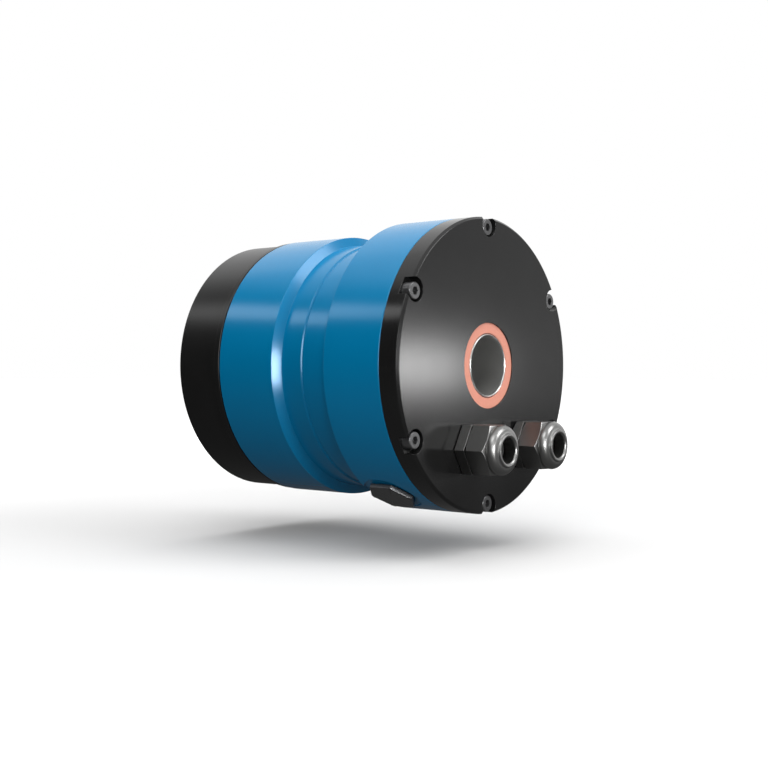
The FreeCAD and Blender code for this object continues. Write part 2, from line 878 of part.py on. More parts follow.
def make_stator_core():
    """Stacked laminations: a yoke with T-shaped teeth pointing inwards."""
    core = ring(x_stator, x_stator_end, stator_radius - stator_yoke, stator_radius - fit_clearance)
    for index in range(stator_slots):
        stem = Part.makeBox(
            stator_length, stator_radius - stator_yoke + 0.5 - stator_bore_radius - 0.2, tooth_width,
            FreeCAD.Vector(x_stator, stator_bore_radius + 0.2, -tooth_width / 2),
        )
        head = Part.makeBox(
            stator_length, tooth_head_height, tooth_head_width,
            FreeCAD.Vector(x_stator, stator_bore_radius - 0.2, -tooth_head_width / 2),
        )
        tooth = stem.fuse(head)
        tooth.rotate(ORIGIN, AXIS, 360.0 * index / stator_slots)
        core = core.fuse(tooth)
    return core.cut(rod(x_stator - 1, x_stator_end + 1, stator_bore_radius)).removeSplitter()


def make_windings():
    """One coil round each tooth."""
    inside = stator_bore_radius + tooth_head_height + slot_liner
    depth = stator_radius - stator_yoke - coil_yoke_gap - inside
    width = tooth_width + 2 * coil_thickness
    coils = []
    for index in range(stator_slots):
        outer = Part.makeBox(
            stator_length + 2 * coil_overhang, depth, width,
            FreeCAD.Vector(x_stator - coil_overhang, inside, -width / 2),
        )
        hole = Part.makeBox(
            stator_length + 0.2, depth + 2, tooth_width + 0.1,
            FreeCAD.Vector(x_stator - 0.1, inside - 1, -tooth_width / 2 - 0.05),
        )
        coil = outer.cut(hole)
        coil.rotate(ORIGIN, AXIS, 360.0 * index / stator_slots)
        coils.append(coil)
    return coils


# ---- Housings ----

def make_front_housing():
    body = turned([
        (x_nose, bearing_outer_radius),
        (x_nose, nose_radius),
        (x_front, nose_radius),
        (x_front, front_drum_radius - drum_chamfer),
        (x_front + drum_chamfer, front_drum_radius),
        (x_ramp, front_drum_radius),
        (x_neck, neck_radius),
        (x_split - neck_chamfer, neck_radius),
        (x_split, neck_radius - neck_chamfer),
        (x_split, spigot_radius + fit_clearance),
        (x_register, spigot_radius + fit_clearance),
        (x_register, circular_outer_radius),
        (x_circular, circular_outer_radius),
        (x_circular, gear_seat_radius),
        (x_gear_seat, gear_seat_radius),
        (x_gear_seat, bearing_outer_radius - bearing_shoulder_step),
        (x_bearing_end, bearing_outer_radius - bearing_shoulder_step),
        (x_bearing_end, bearing_outer_radius),
    ])
    spline_places = on_circle(circular_screw_count, circular_screw_circle)
    joint_places = on_circle(joint_screw_count, joint_screw_circle)
    bottom = x_circular_seat - circular_screw_length - screw_end_gap / 2
    holes = rods(bottom, x_circular + 1, large_screw / 2, spline_places)
    holes += rods(x_split - joint_screw_depth, x_split + 1, small_screw / 2, joint_places)
    return body.cut(holes)


def make_rear_housing():
    web_end = x_split + web_thickness
    shoulder = motor_bearing_outer_radius - bearing_shoulder_height
    groove_inner = joint_o_ring_radius - o_ring_section * 0.7
    groove_outer = joint_o_ring_radius + o_ring_section * 0.7
    body = turned([
        (x_split, motor_bearing_outer_radius),
        (x_split, spigot_radius - spigot_wall),
        (x_split - spigot_length, spigot_radius - spigot_wall),
        (x_split - spigot_length, spigot_radius),
        (x_split, spigot_radius),
        (x_split, groove_inner),
        (x_split + o_ring_section * 0.8, groove_inner),
        (x_split + o_ring_section * 0.8, groove_outer),
        (x_split, groove_outer),
        (x_split, rear_neck_radius),
        (x_shoulder, rear_neck_radius),
        (x_shoulder, rear_drum_radius - rim_chamfer),
        (x_shoulder + rim_chamfer, rear_drum_radius),
        (x_seam - rim_chamfer, rear_drum_radius),
        (x_seam, rear_drum_radius - rim_chamfer),
        (x_seam, plate_radius),
        (x_plate_end + relief_length, plate_radius),
        (x_plate_end + relief_length, relief_radius),
        (x_plate_end, relief_radius),
        (x_plate_end, plate_radius),
        (x_ledge, plate_radius),
        (x_ledge, stator_radius),
        (web_end, stator_radius),
        (web_end, hub_radius),
        (x_hub_end, hub_radius),
        (x_hub_end, shoulder),
        (x_front_ball_end, shoulder),
        (x_front_ball_end, motor_bearing_outer_radius),
    ])
    joint_places = on_circle(joint_screw_count, joint_screw_circle)
    holes = rods(x_split - 1, x_ledge + 1, small_screw / 2 + hole_clearance, joint_places)
    sink = small_head_diameter / 2 + joint_sink_clearance
    holes += rods(x_joint_seat, x_ledge + 1, sink, joint_places)
    plate_places = on_circle(plate_screw_count, joint_screw_circle, plate_screw_angle)
    holes += rods(x_ledge - plate_screw_length, x_ledge + 1, small_screw / 2, plate_places)
    cover_places = on_circle(cover_screw_count, cover_screw_circle, cover_screw_angle)
    holes += rods(x_seam - cover_screw_length, x_seam + 1, large_screw / 2, cover_places)
    body = body.cut(holes)
    return cut_plug_port(body)


def plug_frame(shape):
    """Stand a shape built along X, from the shaft line outwards, at the plug's place."""
    shape.rotate(ORIGIN, FreeCAD.Vector(0, 0, 1), 90)
    shape.rotate(ORIGIN, AXIS, plug_angle)
    shape.translate(FreeCAD.Vector(plug_station, 0, 0))
    return shape


def cut_plug_port(body):
    """Round flat seat and threaded hole for the service plug."""
    seat = rear_drum_radius - plug_seat_depth
    spot = plug_frame(rod(seat, rear_drum_radius + 2, plug_spot_radius))
    drill = plug_frame(rod(seat - plug_drill_depth, seat + 1, plug_thread_radius))
    return body.cut([spot, drill])


def make_plug():
    """Hexagon head plug: chamfered head, threaded shank."""
    seat = rear_drum_radius - plug_seat_depth + plug_gasket_thickness
    top = seat + plug_head_height
    corner = plug_flats / math.sqrt(3)
    head = hex_bar(seat, top, plug_flats)
    cap = turned([
        (seat, 0), (seat, corner + 0.1), (top - plug_head_chamfer, corner + 0.1),
        (top, corner - plug_head_chamfer), (top, 0),
    ])
    shank_end = seat - plug_gasket_thickness - plug_thread_length
    shank = rod(shank_end, seat, plug_thread_radius - thread_clearance)
    return plug_frame(head.common(cap).fuse(shank))


def make_plug_gasket():
    seat = rear_drum_radius - plug_seat_depth
    inner = plug_thread_radius
    outer = plug_flats / 2 - 0.6
    return plug_frame(ring(seat, seat + plug_gasket_thickness, inner, outer))


def make_joint_screws():
    length = x_joint_seat - x_split + joint_screw_depth - screw_end_gap
    return small_screws(x_joint_seat, length, on_circle(joint_screw_count, joint_screw_circle))


def make_o_ring(radius, station):
    """O-ring squeezed to four fifths of its section between two faces."""
    squeezed = o_ring_section * 0.8
    half = squeezed / 2
    points = [
        (station, radius - half * 0.5), (station, radius + half * 0.5),
        (station + half * 0.5, radius + half), (station + squeezed - half * 0.5, radius + half),
        (station + squeezed, radius + half * 0.5), (station + squeezed, radius - half * 0.5),
        (station + squeezed - half * 0.5, radius - half), (station + half * 0.5, radius - half),
    ]
    return turned(points)


def make_retainer():
    """Threaded ring that holds the main bearing's outer ring in the nose."""
    inner = seal_land_radius + oil_seal_radial_width + running_clearance
    return ring(x_nose, x_bearing, inner, bearing_outer_radius - fit_clearance)


def make_output_oil_seal():
    inner = seal_land_radius + running_clearance
    start = x_bearing - oil_seal_width - register_relief
    return ring(start, start + oil_seal_width, inner, inner + oil_seal_radial_width)


def make_motor_oil_seal():
    inner = shaft_radius + running_clearance
    return ring(x_motor_seal, x_motor_seal + motor_seal_width, inner, motor_bearing_outer_radius)


# ---- Rear plate, brake, boards ----

def make_rear_plate():
    shoulder = motor_bearing_outer_radius - bearing_shoulder_height
    body = turned([
        (x_rear_ball, motor_bearing_outer_radius),
        (x_rear_ball, hub_radius),
        (x_ledge, hub_radius),
        (x_ledge, plate_radius - fit_clearance),
        (x_plate_end, plate_radius - fit_clearance),
        (x_plate_end, hub_radius),
        (x_plate_hub_end, hub_radius),
        (x_plate_hub_end, shoulder),
        (x_rear_ball_end, shoulder),
        (x_rear_ball_end, motor_bearing_outer_radius),
    ])
    places = on_circle(plate_screw_count, joint_screw_circle, plate_screw_angle)
    return body.cut(rods(x_ledge - 1, x_plate_end + 1, small_screw / 2 + hole_clearance, places))


def make_plate_screws():
    places = on_circle(plate_screw_count, joint_screw_circle, plate_screw_angle)
    return small_screws(x_plate_end, plate_thickness + plate_screw_length - screw_end_gap, places)


def brake_posts():
    return on_circle(brake_post_count, brake_post_circle, brake_post_angle)


def make_armature():
    body = ring(x_armature, x_armature + armature_thickness, brake_bore_radius, armature_radius)
    slots = rods(
        x_armature - 1, x_armature + armature_thickness + 1,
        brake_post_radius + guide_clearance, brake_posts(),
    )
    return body.cut(slots)


def make_brake_body():
    """Magnet body with its coil groove's outer shell and a fixing flange."""
    return turned([
        (x_brake, brake_bore_radius),
        (x_brake, brake_flange_radius),
        (x_brake + brake_flange_thickness, brake_flange_radius),
        (x_brake + brake_flange_thickness, brake_body_radius),
        (x_brake_end, brake_body_radius),
        (x_brake_end, brake_bore_radius),
    ])


def make_brake_posts():
    return rods(x_plate_end, x_brake, brake_post_radius, brake_posts())


def make_drive_board():
    end = x_drive_board + board_thickness
    return ring(x_drive_board, end, drive_board_radius - drive_board_width, drive_board_radius)


def make_encoder_board():
    end = x_encoder_board + board_thickness
    return ring(x_encoder_board, end, encoder_board_bore_radius, encoder_board_radius)


def make_board_standoffs():
    places = on_circle(standoff_count, standoff_circle, standoff_angle)
    tall = rods(x_plate_end, x_drive_board, standoff_radius, places)
    places = on_circle(encoder_post_count, encoder_post_circle, encoder_post_angle)
    return tall + rods(x_brake_end, x_encoder_board, encoder_post_radius, places)


def make_output_encoder_ring():
    end = x_encoder_board + board_thickness
    return ring(end - output_magnet_width, end, tube_radius, tube_radius + output_magnet_wall)


# ---- Cover ----

def make_cover():
    """Round cover with a pocket inside, a seal seat and six notches open at the rim."""
    seat_start = x_face - seal_face_recess - seal_length
    shoulder = seal_outer_radius - seal_shoulder_width
    groove = o_ring_section * 0.7
    body = turned([
        (x_seam, shoulder),
        (x_seam, cover_hub_radius),
        (x_web, cover_hub_radius),
        (x_web, cover_pocket_radius),
        (x_seam, cover_pocket_radius),
        (x_seam, cover_o_ring_radius - groove),
        (x_seam + o_ring_section * 0.8, cover_o_ring_radius - groove),
        (x_seam + o_ring_section * 0.8, cover_o_ring_radius + groove),
        (x_seam, cover_o_ring_radius + groove),
        (x_seam, rear_drum_radius),
        (x_face - cover_chamfer, rear_drum_radius),
        (x_face, rear_drum_radius - cover_chamfer),
        (x_face, seal_outer_radius),
        (seat_start, seal_outer_radius),
        (seat_start, shoulder),
    ])
    screw_places = on_circle(cover_screw_count, cover_screw_circle, cover_screw_angle)
    notch_places = on_circle(cover_screw_count, notch_circle, cover_screw_angle)
    holes = rods(x_notch_floor, x_face + 1, notch_radius, notch_places)
    holes += rods(x_seam - 1, x_notch_floor + 1, large_screw / 2 + hole_clearance, screw_places)
    holes += rods(x_seam - 1, x_face + 1, gland_thread_radius, GLAND_PLACES)
    return body.cut(holes)


def make_cover_screws():
    length = x_notch_floor - x_seam + cover_screw_length - screw_end_gap
    places = on_circle(cover_screw_count, cover_screw_circle, cover_screw_angle)
    return large_screws(x_notch_floor, length, places)


def make_shaft_seal():
    end = x_face - seal_face_recess
    inner = seal_inner_radius
    return ring(end - seal_length, end, inner, seal_outer_radius - seal_fit_gap)


# ---- Cable glands ----

x_gland = x_face + gland_gasket_gap
x_gland_nut = x_gland + gland_body_hex + gland_seam
x_gland_groove = x_gland_nut + gland_nut_hex
x_gland_dome = x_gland_groove + gland_groove
x_gland_tip = x_gland_dome + gland_nose


def make_gland_body(y, z):
    """Lower hexagon, thread through the cover, and the collar that the nut squeezes."""
    inner_end = x_gland + gland_body_hex + gland_collar_length
    hexagon = nut_bar(x_gland, x_gland + gland_body_hex, gland_flats, y, z, True, False)
    tail_start = x_web - gland_tail_overhang
    tail = rod(tail_start, x_gland, gland_thread_radius - thread_clearance, y, z)
    collar = rod(x_gland + gland_body_hex, inner_end, gland_collar_radius, y, z)
    body = hexagon.fuse(tail).fuse(collar)
    seat = x_gland + gland_body_hex - 1
    bore = rod(tail_start - 1, seat, gland_bore_radius, y, z)
    pocket = rod(seat, inner_end + 1, gland_insert_radius, y, z)
    return body.cut([bore, pocket])


def make_gland_nut(y, z):
    """Cap nut: hexagon, shadow groove, rounded dome and a rolled lip round the mouth."""
    hexagon = nut_bar(x_gland_nut, x_gland_groove, gland_flats, y, z)
    mouth = gland_mouth_radius
    lip = gland_lip_radius
    tip = x_gland_tip
    lip_start = tip - gland_lip_length
    shoulder = FreeCAD.Vector(x_gland_dome, gland_dome_radius, 0)
    crown = FreeCAD.Vector(lip_start, lip + 0.5, 0)
    bulge = FreeCAD.Vector(
        (x_gland_dome + lip_start) / 2 + 0.75, (gland_dome_radius + lip + 0.5) / 2 + 0.8, 0
    )
    lip_side = FreeCAD.Vector(lip_start + 0.1, lip, 0)
    lip_crown = FreeCAD.Vector(tip, (lip + mouth) / 2 + 0.1, 0)
    lip_inner = FreeCAD.Vector(tip - 0.7, mouth, 0)
    lip_bend = FreeCAD.Vector(tip - 0.2, lip - 0.15, 0)
    lip_turn = FreeCAD.Vector(tip - 0.15, mouth + 0.3, 0)
    corners = [
        FreeCAD.Vector(x_gland_groove - 1, mouth, 0),
        FreeCAD.Vector(x_gland_groove - 1, gland_groove_radius, 0),
        FreeCAD.Vector(x_gland_dome, gland_groove_radius, 0),
    ]
    edges = [
        Part.LineSegment(corners[0], corners[1]).toShape(),
        Part.LineSegment(corners[1], corners[2]).toShape(),
        Part.LineSegment(corners[2], shoulder).toShape(),
        Part.Arc(shoulder, bulge, crown).toShape(),
        Part.LineSegment(crown, lip_side).toShape(),
        Part.Arc(lip_side, lip_bend, lip_crown).toShape(),
        Part.Arc(lip_crown, lip_turn, lip_inner).toShape(),
        Part.LineSegment(lip_inner, corners[0]).toShape(),
    ]
    dome = Part.Face(Part.Wire(edges)).revolve(ORIGIN, AXIS, 360)
    dome.translate(FreeCAD.Vector(0, y, z))
    nut = hexagon.fuse(dome)
    cavity_end = x_gland + gland_body_hex + gland_collar_length + 0.3
    cavity = rod(x_gland_nut - 1, cavity_end, gland_collar_radius + thread_clearance, y, z)
    return nut.cut([cavity, rod(cavity_end - 1, tip - 0.7, mouth, y, z)])


def make_gland_insert(y, z):
    """Rubber sleeve that grips a cable."""
    start = x_gland + gland_body_hex - 1
    sleeve = rod(start, start + gland_insert_length, gland_insert_radius - 0.02, y, z)
    return sleeve.cut(rod(start - 1, start + gland_insert_length + 1, gland_insert_bore, y, z))


def make_gland_gasket(y, z):
    inner = gland_thread_radius
    shape = rod(x_face, x_gland, inner + gland_gasket_section, y, z)
    return shape.cut(rod(x_face - 1, x_gland + 1, inner, y, z))


# ---- Every piece, by name ----

PIECES = {
    "output_flange": make_output_flange,
    "through_tube": lambda: countersink_tube(make_through_tube()),
    "through_tube_screws": make_tube_screws,
    "main_bearing_inner_ring": make_main_inner_ring,
    "main_bearing_outer_ring": make_main_outer_ring,
    "main_bearing_rollers": make_main_rollers,
    "bearing_lock_ring": make_lock_ring,
    "bearing_retainer": make_retainer,
    "output_oil_seal": make_output_oil_seal,
    "flexspline": make_flexspline,
    "flexspline_washer": make_flexspline_washer,
    "flexspline_screws": make_flexspline_screws,
    "circular_spline": make_circular_spline,
    "circular_spline_screws": make_circular_screws,
    "wave_bearing_outer_ring": make_wave_outer_ring,
    "wave_bearing_inner_ring": make_wave_inner_ring,
    "wave_bearing_balls": make_wave_balls,
    "wave_generator_cam": make_cam,
    "front_housing": make_front_housing,
    "rear_housing": make_rear_housing,
    "housing_joint_screws": make_joint_screws,
    "housing_o_ring": lambda: make_o_ring(joint_o_ring_radius, x_split),
    "motor_oil_seal": make_motor_oil_seal,
    "rotor_shaft": make_rotor_shaft,
    "rotor_core": make_rotor_core,
    "rotor_magnets": make_magnets,
    "motor_bearing_inner_rings": make_motor_inner_rings,
    "motor_bearing_outer_rings": make_motor_outer_rings,
    "motor_bearing_balls": make_motor_balls,
    "stator_core": make_stator_core,
    "stator_windings": make_windings,
    "rear_bearing_plate": make_rear_plate,
    "bearing_plate_screws": make_plate_screws,
    "brake_disc": make_brake_disc,
    "brake_armature": make_armature,
    "brake_body": make_brake_body,
    "brake_posts": make_brake_posts,
    "rotor_encoder_ring": make_rotor_encoder_ring,
    "output_encoder_ring": make_output_encoder_ring,
    "encoder_board": make_encoder_board,
    "drive_board": make_drive_board,
    "board_standoffs": make_board_standoffs,
    "rear_cover": make_cover,
    "cover_screws": make_cover_screws,
    "cover_o_ring": lambda: make_o_ring(cover_o_ring_radius, x_seam),
    "shaft_seal": make_shaft_seal,
    "service_plug": make_plug,
    "service_plug_gasket": make_plug_gasket,
}

GLAND_PIECES = {
    "body": make_gland_body,
    "nut": make_gland_nut,
    "insert": make_gland_insert,
    "gasket": make_gland_gasket,
}


def save(name, shape):
    """Write one piece, or a group of equal pieces, as one STEP file."""
    if isinstance(shape, list):
        shape = Part.makeCompound(shape)
    shape.exportStep(os.path.join("parts", name + ".step"))


os.makedirs("parts", exist_ok=True)
for name, make in PIECES.items():
    save(name, make())
for number, (y, z) in enumerate(GLAND_PLACES, start=1):
    for name, make in GLAND_PIECES.items():
        save("gland_%d_%s" % (number, name), make(y, z))
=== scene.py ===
import json
import math

import bmesh
import bpy
from mathutils import Matrix, Vector


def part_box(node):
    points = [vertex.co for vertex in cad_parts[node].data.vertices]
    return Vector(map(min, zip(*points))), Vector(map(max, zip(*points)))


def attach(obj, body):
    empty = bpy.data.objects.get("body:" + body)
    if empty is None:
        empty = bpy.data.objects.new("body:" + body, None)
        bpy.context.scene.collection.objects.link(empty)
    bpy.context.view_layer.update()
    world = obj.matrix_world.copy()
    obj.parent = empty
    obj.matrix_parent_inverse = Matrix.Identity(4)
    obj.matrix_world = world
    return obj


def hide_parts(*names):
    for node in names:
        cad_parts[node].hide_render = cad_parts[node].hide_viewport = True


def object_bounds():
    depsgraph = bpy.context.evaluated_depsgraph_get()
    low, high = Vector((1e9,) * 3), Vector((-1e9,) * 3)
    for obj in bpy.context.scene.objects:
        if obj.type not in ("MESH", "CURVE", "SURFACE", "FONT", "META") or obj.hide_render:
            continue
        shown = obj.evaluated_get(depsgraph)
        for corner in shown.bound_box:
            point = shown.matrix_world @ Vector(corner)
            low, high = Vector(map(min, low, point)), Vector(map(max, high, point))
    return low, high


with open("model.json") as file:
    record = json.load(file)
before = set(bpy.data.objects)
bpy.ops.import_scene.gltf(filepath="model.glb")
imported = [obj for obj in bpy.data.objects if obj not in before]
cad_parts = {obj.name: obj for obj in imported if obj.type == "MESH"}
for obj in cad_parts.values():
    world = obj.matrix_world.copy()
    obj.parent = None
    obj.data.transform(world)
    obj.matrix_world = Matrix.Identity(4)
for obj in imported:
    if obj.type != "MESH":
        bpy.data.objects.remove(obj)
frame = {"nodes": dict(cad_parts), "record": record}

# Hollow-shaft joint actuator. The shaft line is X and Z is up. Lengths in the tables are in
# millimetres, because the drawing of the part is, and every mesh is made in metres.

CAD_LOW, CAD_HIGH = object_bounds()
MM = 0.001
# Points closer than this are one point, in a new mesh and in a copy of a CAD mesh, and what is
# thinner than a sliver has no size.
SAME_POINT, SAME_CAD_POINT = 1e-7, 1e-6
SLIVER = 0.004 * MM
RECORD = frame["record"]
MOUNTS = {mount["name"]: mount for mount in RECORD["mounts"]}
NODES = frame["nodes"]


# ---- Small tools ----

def linear(code):
    """Linear colour of an sRGB hex value."""
    parts = [int(code[i:i + 2], 16) / 255 for i in (1, 3, 5)]
    flat = [p / 12.92 if p <= 0.04045 else ((p + 0.055) / 1.055) ** 2.4 for p in parts]
    return (*flat, 1.0)


def add(tree, kind, settings=None, inputs=None):
    """Adds one node. Settings are its attributes, and inputs are values or the sockets that
    feed it."""
    made = tree.nodes.new(kind)
    for name, value in (settings or {}).items():
        setattr(made, name, value)
    for name, value in (inputs or {}).items():
        socket = made.inputs[name]
        if isinstance(value, bpy.types.NodeSocket):
            tree.links.new(value, socket)
        else:
            socket.default_value = value
    return made


def low_corner(name):
    """Corner of a CAD node's box with the least x, y and z, in mm."""
    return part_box(name)[0] / MM


def high_corner(name):
    """Corner of a CAD node's box with the greatest x, y and z, in mm."""
    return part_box(name)[1] / MM


WHITE = linear("#ffffff")


# ---- Finishes ----

# The part of a pattern's range that most of it lies in.
PATTERN_LOW, PATTERN_HIGH = 0.15, 0.85
# A metal's tone changes over patches this many grains across.
TONE_PATCH = 30
# The wave texture repeats after this many metres at scale 1.
WAVE_LENGTH = 0.3142


def blank(name):
    """A new material whose tree is empty, and the tree."""
    material = bpy.data.materials.new(name)
    material.use_nodes = True
    tree = material.node_tree
    tree.nodes.clear()
    return material, tree


def shade(tree, pattern, colours, inputs, rough, height, strength, depth):
    """Ends a material: the pattern moves its colour, and its roughness where a range is given,
    and a bump of the given depth in mm follows the height."""
    level = add(tree, "ShaderNodeMapRange", None,
                {"Value": pattern, "From Min": PATTERN_LOW, "From Max": PATTERN_HIGH})
    colour = add(tree, "ShaderNodeMix", {"data_type": "RGBA"},
                 {0: level.outputs["Result"], 6: linear(colours[0]), 7: linear(colours[1])})
    inputs = {"Base Color": colour.outputs[2], **inputs}
    if rough:
        gloss = add(tree, "ShaderNodeMapRange", None,
                    {"Value": pattern, "From Min": PATTERN_LOW, "From Max": PATTERN_HIGH,
                     "To Min": rough[0], "To Max": rough[1]})
        inputs["Roughness"] = gloss.outputs["Result"]
    bump = add(tree, "ShaderNodeBump", None,
               {"Strength": strength, "Distance": depth * MM, "Height": height})
    inputs["Normal"] = bump.outputs["Normal"]
    shader = add(tree, "ShaderNodeBsdfPrincipled", None, inputs)
    add(tree, "ShaderNodeOutputMaterial", None, {"Surface": shader.outputs["BSDF"]})


def grain(tree, size, stretch=(1, 1, 1), detail=3.0):
    """Noise whose lumps are about size mm across, drawn out along an axis by stretch."""
    place = add(tree, "ShaderNodeTexCoord").outputs["Object"]
    scale = tuple(1 / (size * MM * s) for s in stretch)
    mapped = add(tree, "ShaderNodeMapping", None, {"Vector": place, "Scale": scale})
    noise = add(tree, "ShaderNodeTexNoise", None,
                {"Vector": mapped.outputs["Vector"], "Scale": 1.0, "Detail": detail})
    return noise.outputs["Fac"]


def metal(name, first, second, metallic, rough, size, depth, bump, stretch=(1, 1, 1)):
    """Metal whose colour and gloss vary in wide patches, and whose surface has a grain of size
    mm, drawn out by stretch, depth mm deep and as strong as bump says."""
    material, tree = blank(name)
    shade(tree, grain(tree, size * TONE_PATCH, detail=2.0), (first, second),
          {"Metallic": metallic}, rough, grain(tree, size, stretch), bump, depth)
    return material


# A metal's real grain is a few hundredths of a millimetre. The sizes here are coarser, as fine
# as a render of the whole part can show.

# Aluminium, turned and anodised black: a satin near-black whose highlights stay compact.
BLACK = metal("black anodised aluminium, turned", "#161616", "#191919", 0.0,
              (0.16, 0.175), 0.45, 0.01, 0.02)
# The same, bead blasted before it was anodised: its highlights are wide and soft.
BLASTED = metal("black anodised aluminium, bead blasted", "#151515", "#181818", 0.0,
                (0.30, 0.33), 0.45, 0.01, 0.04)
# Aluminium, turned and anodised blue: satin, with rings round the shaft line too fine to count.
BLUE = metal("blue anodised aluminium, turned", "#0071a0", "#0074a4", 0.1,
             (0.195, 0.21), 0.6, 0.01, 0.02, (1, 400, 400))
# Stainless tube, drawn and honed: bright, with fine lines along the bore.
STAINLESS = metal("stainless steel, drawn and honed", "#d2d2d0", "#dcdcda", 0.88,
                  (0.22, 0.27), 0.4, 0.01, 0.06, (12, 1, 1))
# Brass, turned and nickel plated: a grey mirror with a slight haze.
NICKEL = metal("nickel plated brass, turned", "#8f8f8e", "#9c9c9b", 1.0,
               (0.30, 0.36), 0.5, 0.01, 0.04, (1, 3, 3))
# Screw steel, hardened and blacked in hot salts: dark grey with an oily gloss.
BLACKED = metal("black oxide steel, hardened", "#636364", "#707071", 0.8,
                (0.26, 0.32), 0.35, 0.01, 0.02)
# Ring steel, ground and lapped: nearly a mirror.
BEARING = metal("bearing steel, ground", "#bdbdbb", "#cfcfcc", 1.0,
                (0.10, 0.16), 0.3, 0.005, 0.04, (1, 8, 8))
# Gear and shaft steel, turned and milled: warm grey, with faint rings.
MACHINED = metal("alloy steel, turned", "#8b8a87", "#a09f9b", 1.0,
                 (0.24, 0.34), 0.4, 0.02, 0.08, (1, 10, 10))
# Aluminium as it leaves the lathe: pale, with faint rings.
ALUMINIUM = metal("aluminium, turned and left bare", "#c9cac9", "#dcdcda", 1.0,
                  (0.24, 0.34), 0.4, 0.02, 0.08, (1, 10, 10))
# Sintered magnets, nickel plated: bright with soft edges.
MAGNET = metal("sintered magnet, nickel plated", "#a7a49c", "#bab7ae", 1.0,
               (0.18, 0.28), 0.6, 0.01, 0.05)
# Threaded brass spacers: yellow, with a clean turned gloss.
BRASS = metal("brass, turned", "#b8903f", "#caa250", 1.0,
              (0.20, 0.30), 0.3, 0.01, 0.05, (1, 6, 6))


def rubber():
    """Nitrile rubber, moulded: matt black, with a faint bloom."""
    material, tree = blank("black nitrile rubber, moulded")
    shade(tree, grain(tree, 2.5), ("#131313", "#1f1f1f"), {}, (0.55, 0.75),
          grain(tree, 0.4), 0.15, 0.02)
    return material


def polymer():
    """Filled slide polymer, turned: matt salmon, with faint flecks."""
    material, tree = blank("salmon slide polymer, turned")
    shade(tree, grain(tree, 0.6, detail=5.0), ("#d68b77", "#dd9783"),
          {"Roughness": 0.48, "Subsurface Weight": 0.05, "Subsurface Scale": 0.4 * MM}, None,
          grain(tree, 0.5, (1, 6, 6)), 0.1, 0.02)
    return material


def ribbed(name, first, second, axis, pitch, metallic, rough):
    """Ridges of one pitch in mm along an axis, as on stacked sheets or wound wire."""
    material, tree = blank(name)
    place = add(tree, "ShaderNodeTexCoord").outputs["Object"]
    wave = add(tree, "ShaderNodeTexWave", {"wave_type": "BANDS", "bands_direction": axis},
               {"Vector": place, "Scale": WAVE_LENGTH / (pitch * MM), "Distortion": 0.4,
                "Detail": 1.0})
    shade(tree, wave.outputs["Fac"], (first, second),
          {"Metallic": metallic, "Roughness": rough}, None, wave.outputs["Fac"], 0.4, 0.1)
    return material


def board():
    """Glass-epoxy circuit board, solder masked: green, with copper runs under the mask. The
    cells between the runs are 4 mm, coarser than real ones, so that they show."""
    material, tree = blank("glass epoxy board, solder masked")
    place = add(tree, "ShaderNodeTexCoord").outputs["Object"]
    cells = add(tree, "ShaderNodeTexVoronoi",
                {"feature": "DISTANCE_TO_EDGE", "distance": "MANHATTAN"},
                {"Vector": place, "Scale": 1 / (4.0 * MM)})
    runs = add(tree, "ShaderNodeMapRange", None,
               {"Value": cells.outputs["Distance"], "From Min": 0.04, "From Max": 0.08,
                "To Min": PATTERN_HIGH, "To Max": PATTERN_LOW}).outputs["Result"]
    shade(tree, runs, ("#0d4a2a", "#1f7a45"), {"Roughness": 0.35, "Coat Weight": 0.3}, None,
          runs, 0.2, 0.035)
    return material


RUBBER = rubber()
POLYMER = polymer()
# Electrical sheet, stamped and stacked: dark, with the sheets' edges showing.
LAMINATED = ribbed("electrical steel sheet, stacked", "#4e4d4a", "#6d6c68", "X", 0.7, 1.0, 0.42)
# Enamelled wire, wound: red-brown glossy turns.
WOUND = ribbed("enamelled copper wire, wound", "#7c3413", "#b65a26", "Z", 0.9, 0.8, 0.28)
BOARD = board()

FINISHES = {
    "black_anodised_aluminium": BLACK,
    "blue_anodised_aluminium": BLUE,
    "stainless_steel": STAINLESS,
    "nickel_plated_brass": NICKEL,
    "black_rubber": RUBBER,
    "salmon_polymer": POLYMER,
    "black_oxide_steel": BLACKED,
    "bearing_steel": BEARING,
    "machined_steel": MACHINED,
    "bare_aluminium": ALUMINIUM,
    "lamination_steel": LAMINATED,
    "enamelled_copper": WOUND,
    "nickel_plated_magnet": MAGNET,
    "circuit_board": BOARD,
    "brass_standoff": BRASS,
}
# Finish and body of each CAD node, as the record gives them.
SLOTS = {part["node"]: part["material_slot"] for part in RECORD["subparts"]}
BODIES = {node: body for body, nodes in RECORD["behaviour"]["bodies"].items() for node in nodes}


# ---- Shapes ----

def piece_from(name, shape):
    """New object from a bmesh in metres, merged, with its faces outwards."""
    bmesh.ops.remove_doubles(shape, verts=shape.verts, dist=SAME_POINT)
    bmesh.ops.recalc_face_normals(shape, faces=shape.faces)
    mesh = bpy.data.meshes.new(name)
    shape.to_mesh(mesh)
    shape.free()
    made = bpy.data.objects.new(name, mesh)
    bpy.context.scene.collection.objects.link(made)
    return made


def turned(name, outline, y=0.0, z=0.0, sides=192):
    """Turns a closed outline of (x, radius) about a line along X."""
    shape = bmesh.new()
    loops = []
    for step in range(sides):
        angle = 2 * math.pi * step / sides
        across, up = math.cos(angle), math.sin(angle)
        loops.append([
            shape.verts.new((x * MM, (y + radius * across) * MM, (z + radius * up) * MM))
            for x, radius in outline])
    for step, loop in enumerate(loops):
        following = loops[(step + 1) % sides]
        for i in range(len(outline)):
            j = (i + 1) % len(outline)
            if outline[i][1] or outline[j][1]:
                shape.faces.new((loop[i], loop[j], following[j], following[i]))
    return piece_from(name, shape)


